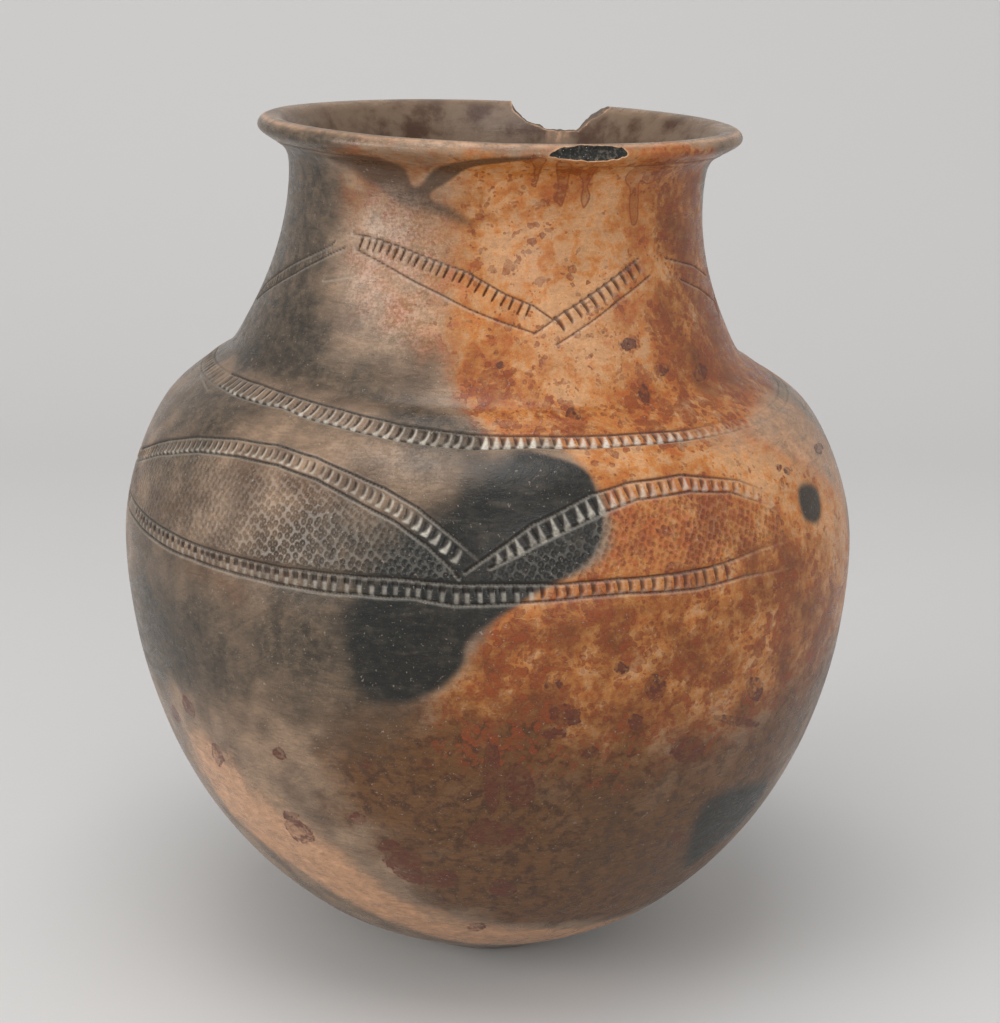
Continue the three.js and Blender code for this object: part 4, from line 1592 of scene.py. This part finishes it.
    def marked(self, nodes: Nodes, tint: object, clouding: dict) -> Socket:
        """Lays the stains and the drips: a thin wash with a darker edge."""
        wobble = nodes.times(nodes.less(clouding["Small"], 0.5), 6.0)
        patchy = nodes.ramp(clouding["Drops"], 0.45, 0.52, 0.4, 0.95)
        stain = nodes.plus(nodes.layer(Run.STAIN.value), wobble)
        wash = nodes.times(nodes.ramp(stain, 0.6, -0.6, 0.0, 0.85), patchy)
        tint = nodes.mix(wash, tint, self.liver)
        for depth in (0.0, 2.6):
            edge = nodes.ramp(nodes.math("ABSOLUTE", nodes.plus(stain, depth)), 0.7, 0.15)
            tint = nodes.mix(nodes.times(edge, patchy), tint, self.liver)
        drip = nodes.plus(nodes.layer(Run.DRIP.value), nodes.times(wobble, 0.25))
        tint = nodes.mix(nodes.ramp(drip, 0.25, -0.25, 0.0, 0.34), tint, self.rust)
        edge = nodes.ramp(nodes.math("ABSOLUTE", drip), 0.5, 0.1, 0.0, 0.7)
        return nodes.mix(edge, tint, self.rust)

    def grey(self, nodes: Nodes, value: object) -> Socket:
        """A value as a grey colour."""
        return nodes.add("ShaderNodeCombineColor", dict.fromkeys(range(3), value)).outputs[0]

    def make(self, effects: "Effects") -> bpy.types.Material:
        """The material."""
        material, nodes, shader = new_material("burnished_clay")
        place = nodes.place()
        clouding = effects.use(nodes, "mottling", place)
        stroke = effects.use(nodes, "strokes", place)
        grain = effects.use(nodes, "grit", place)
        net = self.netting(nodes)
        nodes.put(shader.inputs["Base Color"], self.colours(nodes, clouding, stroke, grain, net))
        matt = nodes.ramp(stroke["Long"], 0.3, 0.7, self.roughness - 0.1, self.roughness + 0.1)
        for name, gain in (("groove", 0.35), ("chalk_and_highlight", 0.4), ("inside", 0.06)):
            matt = nodes.plus(matt, nodes.times(nodes.layer(name), gain))
        nodes.put(shader.inputs["Roughness"], matt)
        shader.inputs["Specular IOR Level"].default_value = self.sheen
        weave = nodes.times(nodes.ramp(net, 0.1, 0.5), nodes.layer("net"))
        tooth = nodes.less(grain["Tooth"], grain["Pores"])
        normal = None
        for height, depth in (
            (weave, 0.0004), (stroke["Long"], 0.00013), (clouding["Small"], 0.00025),
            (stroke["Fine"], 0.00005), (tooth, 0.00005),
        ):
            normal = nodes.bump(height, depth, normal)
        nodes.put(shader.inputs["Normal"], normal)
        return material


@dataclass(frozen=True)
class BrokenClay:
    """The finish of a break: a rough core with pale grits, and a thin pale line where the skin ends."""

    name: str
    core: tuple
    warm: tuple
    grains: tuple = linear(200, 192, 180)
    skin: tuple = linear(226, 180, 140)
    line: float = 0.5

    def make(self, effects: "Effects") -> bpy.types.Material:
        """The material."""
        material, nodes, shader = new_material(self.name)
        place = nodes.place()
        clouding = effects.use(nodes, "mottling", place)
        grain = effects.use(nodes, "grit", place)
        lumps = nodes.blend(clouding["Small"], clouding["Flecks"])
        tint = nodes.mix(nodes.ramp(lumps, 0.48, 0.6), self.core, self.warm)
        tint = nodes.mix(grain["Grains"], tint, self.grains)
        tint = nodes.mix(nodes.ramp(nodes.layer("edge"), 0.35, 0.9, 0.0, self.line), tint, self.skin)
        nodes.put(shader.inputs["Base Color"], tint)
        nodes.put(shader.inputs["Roughness"], nodes.ramp(grain["Tooth"], 0.3, 0.7, 0.8, 0.95))
        rough = nodes.plus(clouding["Small"], nodes.times(grain["Tooth"], 0.5))
        nodes.put(shader.inputs["Normal"], nodes.bump(rough, 0.0008))
        return material


def new_material(name: str) -> tuple[bpy.types.Material, Nodes, bpy.types.Node]:
    """A material with its nodes and its shader.

    Args:
        name: its name.

    Returns:
        The material, its nodes, and its Principled shader.
    """
    material = bpy.data.materials.new(name)
    material.use_nodes = True
    return material, Nodes(material.node_tree), material.node_tree.nodes["Principled BSDF"]


class Effects:
    """The node groups that the materials share."""

    def __init__(self) -> None:
        """Makes each group once."""
        self.groups = {
            "grit": group("grit", ("Grains", "Pores", "Tooth"), grit),
            "mottling": group("mottling", ("Middle", "Small", "Puddles", "Drops", "Flecks"), mottling),
            "strokes": group("strokes", ("Long", "Fine", "Scratches"), strokes),
        }

    def use(self, nodes: Nodes, name: str, place: object) -> dict:
        """Places a group in a material.

        Args:
            nodes: the material's nodes.
            name: the group's name.
            place: the coordinates that it reads.

        Returns:
            Its values by name.
        """
        node = nodes.add("ShaderNodeGroup", node_tree=self.groups[name])
        nodes.put(node.inputs["Place"], place)
        return {socket.name: socket for socket in node.outputs}


def only(piece: Piece) -> None:
    """Selects one object and nothing else."""
    bpy.ops.object.select_all(action="DESELECT")
    piece.select_set(True)
    bpy.context.view_layer.objects.active = piece


@contextmanager
def editing(piece: Piece,
            chosen: Optional[Callable[[bpy.types.MeshEdge], bool]] = None) -> Iterator[None]:
    """Keeps a mesh in edit mode while a block runs, with only some edges selected, or none.

    Args:
        piece: the mesh.
        chosen: tells whether an edge is selected.
    """
    only(piece)
    bpy.ops.object.mode_set(mode="EDIT")
    bpy.ops.mesh.select_mode(type="EDGE")
    bpy.ops.mesh.select_all(action="DESELECT")
    if chosen is not None:
        bpy.ops.object.mode_set(mode="OBJECT")
        for edge in piece.data.edges:
            edge.select = chosen(edge)
        bpy.ops.object.mode_set(mode="EDIT")
    yield
    bpy.ops.object.mode_set(mode="OBJECT")


def nearest(points: Array, places: Array) -> tuple[Array, Array]:
    """The number of the point that is nearest to each place, and how far off it is."""
    tree = KDTree(len(points))
    for number, point in enumerate(points):
        tree.insert(point, number)
    tree.balance()
    found = [tree.find(place) for place in places]
    return np.array([number for _, number, _ in found]), np.array([gap for _, _, gap in found])


def roughness(places: Array, seed: int, lumps: Sequence[tuple[float, float]]) -> Array:
    """How far a broken face stands out at each place, along each axis.

    Args:
        places: points in millimetres, one per row.
        seed: which pattern.
        lumps: for each size of lump, the size and how far it stands out.

    Returns:
        Millimetres, one row for each place.
    """
    rough = Lattice(seed)
    return np.stack([sum(rough.at(places + 9 * axis, size) * reach for size, reach in lumps)
                     for axis in range(3)], 1)


def mesh_points(piece: Piece) -> Array:
    """A mesh's vertices, in metres."""
    values = np.empty(len(piece.data.vertices) * 3)
    piece.data.vertices.foreach_get("co", values)
    return values.reshape(-1, 3)


def move_points(piece: Piece, points: Array) -> None:
    """Moves a mesh's vertices, in metres."""
    piece.data.vertices.foreach_set("co", points.astype(np.float32).ravel())
    piece.data.update()


def write_layer(piece: Piece, name: str, values: Array) -> None:
    """Gives a mesh one value at each vertex."""
    layer = piece.data.attributes.get(name) or piece.data.attributes.new(name, "FLOAT", "POINT")
    layer.data.foreach_set("value", values.astype(np.float32))


def read_layer(piece: Piece, name: str) -> Array:
    """A mesh's values at its vertices."""
    values = np.empty(len(piece.data.vertices), np.float32)
    piece.data.attributes[name].data.foreach_get("value", values)
    return values


def outline_object(name: str, points: Array, closed: bool = True) -> Piece:
    """A wire through points, started from a circle of as many.

    Args:
        name: the object's name.
        points: places in metres, one per row.
        closed: whether the last joins the first.

    Returns:
        The object.
    """
    bpy.ops.object.select_all(action="DESELECT")
    bpy.ops.mesh.primitive_circle_add(vertices=len(points), radius=0.1)
    wire = bpy.context.object
    wire.name = wire.data.name = name
    if not closed:
        ends = {0, len(points) - 1}
        with editing(wire, lambda edge: set(edge.vertices) == ends):
            bpy.ops.mesh.delete(type="EDGE")
    move_points(wire, points)
    return wire


def tidy(piece: Piece, gap: float = MERGE) -> None:
    """Merges doubles and turns every face outwards."""
    with editing(piece):
        bpy.ops.mesh.select_all(action="SELECT")
        bpy.ops.mesh.remove_doubles(threshold=gap)
        bpy.ops.mesh.normals_make_consistent(inside=False)


def lathe(wire: Piece, steps: int, angle: float = TURN, rise: float = 0.0,
          axis: str = "Z") -> None:
    """Turns a wire about an axis, or sweeps it along it."""
    only(wire)
    screw = wire.modifiers.new("lathe", "SCREW")
    screw.axis = axis
    screw.angle = angle
    screw.screw_offset = rise
    screw.steps = screw.render_steps = steps
    screw.use_merge_vertices = angle == TURN
    screw.merge_threshold = MERGE
    bpy.ops.object.modifier_apply(modifier=screw.name)


@dataclass
class Hand:
    """What the hand left: slow swells and hollows, pressed in from the true outer face.

    small and dent are the size and depth of the quick marks. The inner face was only scraped.
    """

    SEEDS = (11, 12)
    APART = 40
    SCRAPE_SIZE = 34.0
    SCRAPE_SQUASH = np.array([1, 1, 2.2])

    wide: float = 62.0
    swell: float = 0.55
    small: float = 17.0
    dent: float = 0.22
    scraped: float = 0.8

    def __post_init__(self) -> None:
        """Makes the patterns."""
        self.outer, self.inner = (Lattice(seed) for seed in self.SEEDS)

    def sink(self, points: Array, depth: Array) -> Array:
        """How far to press the wall in.

        Args:
            points: places on the true surface, in millimetres.
            depth: 0 on the outer face, 1 on the inner one.

        Returns:
            Millimetres, 0 or more on the outer face.
        """
        slow = (self.outer.at(points, self.wide) + 1) * 0.5 * self.swell
        quick = (self.outer.at(points + self.APART, self.small) + 1) * 0.5 * self.dent
        inside = self.inner.at(points * self.SCRAPE_SQUASH, self.SCRAPE_SIZE) * self.scraped
        return (slow + quick) * (1 - depth) + inside * depth


@dataclass
class Coil:
    """One ring of clay, with a bevel where it meets the next."""

    FLOOR_RINGS = 11
    BEVEL_STEP = 3.0

    name: str
    slot: str
    low: float
    high: Optional[float]
    step: float
    columns: int
    inner_step: float = 4.0
    bevel: float = 6.0

    def outline(self, section: Section) -> Array:
        """The coil's section.

        Args:
            section: the pot's section.

        Returns:
            The run and the depth into the wall, one row for each point round it.
        """
        start = section.run_at(self.low) if self.low > 0 else 0.0
        end = section.length if self.high is None else section.run_at(self.high)
        rows = max(int(round((end - start) / self.step)), 2)
        outer = np.linspace(start, end, rows + 1)
        parts = [np.stack([outer, np.zeros_like(outer)], 1)]
        foot = start + self.bevel if self.low > 0 else 0.0
        if self.high is None:
            parts.append(np.array([[foot, 1.0]]))
        else:
            head = end + self.bevel
            parts.append(self.slope((end, 0.0), (head, 1.0)))
            rows = max(int(round((head - foot) / self.inner_step)), 2)
            inner = np.linspace(head, foot, rows + 1)
            parts.append(np.stack([inner, np.ones_like(inner)], 1))
        if self.low > 0:
            parts.append(self.slope((foot, 1.0), (start, 0.0)))
        return np.concatenate(parts)

    def slope(self, start: tuple[float, float], end: tuple[float, float]) -> Array:
        """Points between two corners of the section, without the corners."""
        count = max(int(round(abs(end[0] - start[0]) / self.BEVEL_STEP)), 2)
        share = np.linspace(0, 1, count + 1)[1:-1, None]
        return np.array(start) + (np.array(end) - np.array(start)) * share

    def build(self, section: Section) -> Piece:
        """Lathes the coil, round and level, with the run and depth of every vertex."""
        outline = self.outline(section)
        run, depth = outline[:, 0], outline[:, 1]
        radius, height = section.sunk(run, depth * section.wall(run))
        points = np.stack([radius, np.zeros_like(radius), height], 1)
        if self.low == 0:
            rings = np.zeros(self.FLOOR_RINGS)
            floor = np.linspace(1, 0, self.FLOOR_RINGS + 1)[1:]
            inner = np.stack([points[-1, 0] * floor, rings, rings + points[-1, 2]], 1)
            under = np.stack([points[0, 0] * floor[::-1], rings, rings], 1)
            points = np.concatenate([under, points, inner])
            run = np.concatenate([rings, run, rings])
            depth = np.concatenate([rings, depth, rings + 1])
        wire = outline_object(self.name, points * MM, closed=self.low > 0)
        write_layer(wire, "run", run)
        write_layer(wire, "depth", depth)
        lathe(wire, self.columns)
        tidy(wire)
        return wire


@dataclass(frozen=True)
class Break:
    """The piece missing from the back of the rim: its outline in millimetres, seen from the front."""

    SEED = 31
    LUMPS = ((2.2, 0.45), (6.0, 0.6))

    outline: tuple = (
        (9.5, 350.0), (10.0, 338.0), (12.5, 334.5), (16.0, 331.5), (22.0, 330.0), (25.5, 328.0),
        (38.0, 328.0), (41.0, 330.5), (44.5, 334.0), (54.0, 339.5), (57.0, 350.0),
    )
    near: float = 45.0
    far: float = 110.0
    grain: float = 0.9

    def cutter(self) -> Piece:
        """The missing piece, as a rough block."""
        corners = np.array(self.outline)
        gaps = np.linalg.norm(np.diff(corners, axis=0), axis=1)
        walked = np.concatenate([[0], np.cumsum(gaps)])
        spots = np.linspace(0, walked[-1], int(walked[-1] / self.grain) + 1)
        x = np.interp(spots, walked, corners[:, 0])
        z = np.interp(spots, walked, corners[:, 1])
        wire = outline_object("missing_rim", np.stack([x, np.full_like(x, self.near), z], 1) * MM)
        depth = self.far - self.near
        lathe(wire, int(depth / self.grain), 0.0, depth * MM, "Y")
        with editing(wire):
            bpy.ops.mesh.select_non_manifold()
            bpy.ops.mesh.fill_holes(sides=0)
        tidy(wire)
        points = mesh_points(wire)
        shift = roughness(points / MM, self.SEED, self.LUMPS)
        move_points(wire, points + shift * MM * [1, 0, 1])
        return wire


@dataclass(frozen=True)
class Chip:
    """The chip in the front of the lip: a shallow scoop."""

    SEED = 37
    LUMPS = ((2.6, 0.8), (1.1, 0.35))

    x: float = 35.0
    y: float = -92.0
    z: float = 336.5
    width: float = 39.0
    depth: float = 10.5
    height: float = 11.0
    turn: float = 0.31
    blunt: float = 0.5

    def cutter(self) -> Piece:
        """The scoop, as a rough lens."""
        bpy.ops.object.select_all(action="DESELECT")
        bpy.ops.mesh.primitive_ico_sphere_add(subdivisions=6, radius=0.5)
        scoop = bpy.context.object
        scoop.name = "missing_chip"
        points = mesh_points(scoop)
        points[:, 1:] *= 1 + self.blunt * points[:, :1] * 2
        points *= [self.width, self.depth, self.height]
        cosine, sine = math.cos(self.turn), math.sin(self.turn)
        turned = np.stack([points[:, 0] * cosine - points[:, 1] * sine,
                           points[:, 0] * sine + points[:, 1] * cosine, points[:, 2]], 1)
        turned += [self.x, self.y, self.z]
        move_points(scoop, (turned + roughness(turned, self.SEED, self.LUMPS)) * MM)
        tidy(scoop)
        return scoop


class Pot:
    """The whole vessel: its twelve coils, carved and coloured from the same two maps."""

    COILS = (
        Coil("base_bowl", "base_clay", 0, 38, 2.0, 420),
        Coil("lower_wall_coil_1", "lower_wall_clay", 38, 75, 1.7, 520),
        Coil("lower_wall_coil_2", "lower_wall_clay", 75, 112, 1.5, 620),
        Coil("belly_coil_1", "belly_clay", 112, 148, 1.3, 760),
        Coil("belly_coil_2", "belly_clay", 148, 181, 1.2, 900),
        Coil("belly_coil_3", "belly_clay", 181, 207, 0.48, 1400),
        Coil("shoulder_coil_1", "shoulder_clay", 207, 228, 0.46, 1380),
        Coil("shoulder_coil_2", "shoulder_clay", 228, 247, 0.5, 1200),
        Coil("neck_coil_1", "neck_clay", 247, 269, 0.5, 1150),
        Coil("neck_coil_2", "neck_clay", 269, 292, 0.45, 1100),
        Coil("neck_coil_3", "neck_clay", 292, 315, 0.7, 900),
        Coil("rim_coil", "rim_clay", 315, None, 0.7, 800),
    )

    MARKS = ("run", "depth", "angle")
    SMOOTH = math.radians(36)
    FLAT_EDGE = 0.01
    PRESSED_FROM = 12.0
    LINED = (2, 9)
    HIGHLIGHT_BELOW = 2.4
    HIGHLIGHT_REACH = 1.2
    FRONT_SHARE = 0.35
    SEAM = math.radians(165)
    SKIN_EDGE = 0.7

    def __init__(self, wall: Wall, carving: Carving, paint: FireMap, effects: Effects) -> None:
        """Args:
        wall: the unrolled wall.
        carving: what is cut into it.
        paint: its colours.
        effects: the node groups.
        """
        self.wall = wall
        self.carving = carving
        self.paint = paint
        self.hand = Hand()
        self.clay = BurnishedClay().make(effects)
        broken = BrokenClay("broken_clay", linear(92, 80, 70), linear(124, 104, 88), line=0.2)
        chipped = BrokenClay("chipped_clay", linear(30, 31, 29), linear(88, 80, 70), line=0.8)
        self.broken, self.chipped = broken.make(effects), chipped.make(effects)
        self.shift = self.centring()

    def centring(self) -> float:
        """How far to the left the pot moves, so that its widest row is centred."""
        runs = self.wall.section.run
        rising = runs[runs < self.wall.section.crest_run]
        quarter = np.full_like(rising, math.pi / 2)
        still = np.zeros_like(rising)
        right = self.wall.section.place(rising, quarter, still)[:, 0].max()
        left = self.wall.section.place(rising, -quarter, still)[:, 0].min()
        return float(left + right) / 2

    def build(self) -> None:
        """Builds every coil."""
        for coil in self.COILS:
            piece = coil.build(self.wall.section)
            self.shape(piece)
            piece.data.materials.append(self.clay)
            if coil.high is None:
                self.damage(piece)
            self.dress(piece)
            only(piece)
            bpy.ops.object.shade_smooth_by_angle(angle=self.SMOOTH)
            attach(piece, "root")
            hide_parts(coil.name)
            piece.name = f"{coil.name}_clay"
            piece.data.calc_loop_triangles()
            LOG.info("%s: %d triangles", piece.name, len(piece.data.loop_triangles))

    def shape(self, piece: Piece) -> None:
        """Leans, tilts, hand-marks and carves a lathed coil, and notes each vertex's place."""
        section = self.wall.section
        points = mesh_points(piece) / MM
        run, depth = read_layer(piece, "run"), read_layer(piece, "depth")
        outer = depth < OUTER_DEPTH
        angle = np.arctan2(points[:, 0], -points[:, 1])
        angle -= self.FRONT_SHARE * np.sin(angle)
        nominal = section.place(run, angle, depth * section.wall(run))
        cut = self.carving.grid.sample(self.carving.depth, angle, run) * outer
        under = (run <= 0) & outer
        press = self.hand.sink(nominal, depth)
        press = np.where(under, 0.0, press * smooth_step(0.0, self.PRESSED_FROM, run) + cut)
        sink = np.where(outer, press, depth * section.wall(run) + press)
        placed = section.place(run, angle, sink)
        radius = np.hypot(points[:, 0], points[:, 1])
        flat = (run <= 0) & (radius < section.line[0, 0] - self.FLAT_EDGE)
        across = radius * np.sin(angle) + section.line[0, 2]
        level = np.stack([across, -radius * np.cos(angle), points[:, 2]], 1)
        placed[flat] = level[flat]
        placed[:, 0] -= self.shift
        move_points(piece, placed * MM)
        write_layer(piece, "angle", angle)

    def damage(self, piece: Piece) -> None:
        """Breaks the missing piece out of the rim and chips its lip."""
        before = mesh_points(piece)
        kept = {name: read_layer(piece, name) for name in self.MARKS}
        for cutter, finish in ((Break().cutter(), self.broken), (Chip().cutter(), self.chipped)):
            cutter.data.materials.append(finish)
            only(piece)
            cut = piece.modifiers.new("damage", "BOOLEAN")
            cut.operation = "DIFFERENCE"
            cut.solver = "MANIFOLD"
            cut.material_mode = "TRANSFER"
            cut.object = cutter
            bpy.ops.object.modifier_apply(modifier=cut.name)
            bpy.data.objects.remove(cutter, do_unlink=True)
        source, _ = nearest(before, mesh_points(piece))
        for name, values in kept.items():
            write_layer(piece, name, values[source])
        write_layer(piece, "edge", self.skin_edge(piece))

    def skin_edge(self, piece: Piece) -> Array:
        """1 where a break meets the burnished face, falling to 0 a little way off."""
        mesh = piece.data
        finish = np.empty(len(mesh.polygons), np.int32)
        corners = np.empty(len(mesh.polygons), np.int32)
        owners = np.empty(len(mesh.loops), np.int32)
        mesh.polygons.foreach_get("material_index", finish)
        mesh.polygons.foreach_get("loop_total", corners)
        mesh.loops.foreach_get("vertex_index", owners)
        broken = np.repeat(finish > 0, corners)
        meets = np.zeros((2, len(mesh.vertices)), bool)
        meets[0, owners[broken]] = True
        meets[1, owners[~broken]] = True
        line = np.flatnonzero(meets.all(axis=0))
        points = mesh_points(piece)
        _, gaps = nearest(points[line], points)
        return smooth_step(self.SKIN_EDGE, 0.0, gaps / MM)

    def dress(self, piece: Piece) -> None:
        """Writes the colours, the painted sheen, the lip's painted highlight and the carving's depth, pale
        and net on a coil's vertices.
        """
        run, depth, angle = (read_layer(piece, name) for name in self.MARKS)
        outer, outside = depth < OUTER_DEPTH, depth < 0.5
        paint, carving = self.paint, self.carving
        for layer, values in paint.layers.items():
            share = paint.grid.sample(values, angle, run)
            write_layer(piece, layer.value, np.clip(share, 0, 1) * outside)
        for mark, gaps in paint.runs.items():
            gap = paint.grid.sample(gaps, angle, run)
            write_layer(piece, mark.value, np.where(outside, gap, paint.FAR))
        groove, chalk_and_highlight, net = (carving.grid.sample(values, angle, run) * outer
                              for values in (carving.depth, carving.chalk_and_highlight, carving.net))
        write_layer(piece, "groove", groove)
        write_layer(piece, "chalk_and_highlight", np.clip(chalk_and_highlight, 0, 1))
        write_layer(piece, "net", net)
        write_layer(piece, "across", np.mod(angle - self.SEAM, TURN) * carving.grid.widest)
        write_layer(piece, "along", run)
        crest = self.wall.section.crest_run
        start, end = (crest + past for past in self.LINED)
        write_layer(piece, "inside", np.maximum(smooth_step(start, end, run), depth > 0.5))
        # A painted highlight along the lip's top, a little below its crest.
        painted_lip_highlight = np.exp(-(((run - crest + self.HIGHLIGHT_BELOW) / self.HIGHLIGHT_REACH) ** 2)) * outer
        write_layer(piece, "crest", painted_lip_highlight)
        for name in self.MARKS:
            piece.data.attributes.remove(piece.data.attributes[name])


@dataclass(frozen=True)
class Lamp:
    """A square soft lamp, with its place and size in metres and its power in watts."""

    name: str
    place: tuple[float, float, float]
    size: float
    power: float
    colour: tuple[float, float, float] = (1.0, 1.0, 1.0)

    def make(self, target: Vector) -> None:
        """Makes the lamp, facing a place."""
        data = bpy.data.lights.new(self.name, "AREA")
        data.shape = "SQUARE"
        data.size = self.size
        data.energy = self.power
        data.color = self.colour
        lamp = bpy.data.objects.new(self.name, data)
        bpy.context.scene.collection.objects.link(lamp)
        lamp.location = self.place
        aim = target - Vector(self.place)
        lamp.rotation_euler = aim.to_track_quat("-Z", "Y").to_euler()


@dataclass
class Studio:
    """A pale floor that curves up into a backdrop, and soft light."""

    width: float = 8.0
    front: float = -2.2
    back: float = 1.7
    height: float = 3.4
    bend: float = 0.9
    grey: tuple = linear(202, 201, 200)
    rough: float = 0.9
    sheen: float = 0.1
    room: float = 0.67

    LAMPS = (
        Lamp("key", (-1.75, -1.0, 0.75), 0.9, 18.0, (1.0, 0.99, 0.97)),
        Lamp("front", (0.6, -1.9, 0.75), 0.8, 6.5),
        Lamp("side", (1.8, -0.6, 0.75), 0.9, 2.5),
        Lamp("top", (-0.1, -0.5, 1.9), 1.2, 15.0),
    )
    TARGET = Vector((0, 0, 0.17))
    NEAR = 0.01
    SMOOTH = math.radians(40)
    SEGMENTS = 24

    def build(self) -> None:
        """Builds the floor, the lamps and the world."""
        self.floor()
        for lamp in self.LAMPS:
            lamp.make(self.TARGET)
        world = bpy.data.worlds.new("room")
        world.use_nodes = True
        back = world.node_tree.nodes["Background"]
        back.inputs["Color"].default_value = (1.0, 1.0, 1.0, 1.0)
        back.inputs["Strength"].default_value = self.room
        bpy.context.scene.world = world

    def floor(self) -> None:
        """One sheet: the floor, a bend, and the backdrop."""
        bpy.ops.object.select_all(action="DESELECT")
        bpy.ops.mesh.primitive_plane_add(size=1)
        sheet = bpy.context.object
        sheet.name = "paper_sweep"
        half = self.width / 2
        edge = [(side * half, depth, 0) for depth in (self.front, self.back) for side in (-1, 1)]
        move_points(sheet, np.array(edge))

        def at_back(line: bpy.types.MeshEdge) -> bool:
            """Whether an edge lies at the back of the floor."""
            ends = [sheet.data.vertices[end].co for end in line.vertices]
            return all(end.y > self.back - self.NEAR and abs(end.z) < self.NEAR for end in ends)

        with editing(sheet, at_back):
            bpy.ops.mesh.extrude_region_move(TRANSFORM_OT_translate={"value": (0, 0, self.height)})
        with editing(sheet, at_back):
            bpy.ops.mesh.bevel(offset=self.bend, segments=self.SEGMENTS, profile=0.5)
        bpy.ops.object.shade_smooth_by_angle(angle=self.SMOOTH)
        material, _, shader = new_material("paper")
        shader.inputs["Base Color"].default_value = self.grey
        shader.inputs["Roughness"].default_value = self.rough
        shader.inputs["Specular IOR Level"].default_value = self.sheen
        sheet.data.materials.append(material)


def main() -> None:
    """Builds the scene."""
    logging.basicConfig(level=logging.INFO, format="%(message)s")
    view = Viewpoint()
    view.make()
    section = Section()
    wall = Wall(section, view)
    carving = Carving(wall)
    Drawing(carving).cut()
    LOG.info("carving: deepest cut %.2f mm", carving.depth.max())
    paint = FireMap(wall)
    Firing(paint).lay()
    Pot(wall, carving, paint, Effects()).build()
    Studio().build()
    bpy.context.scene.view_settings.view_transform = "Standard"


if __name__ == "__main__":
    main()
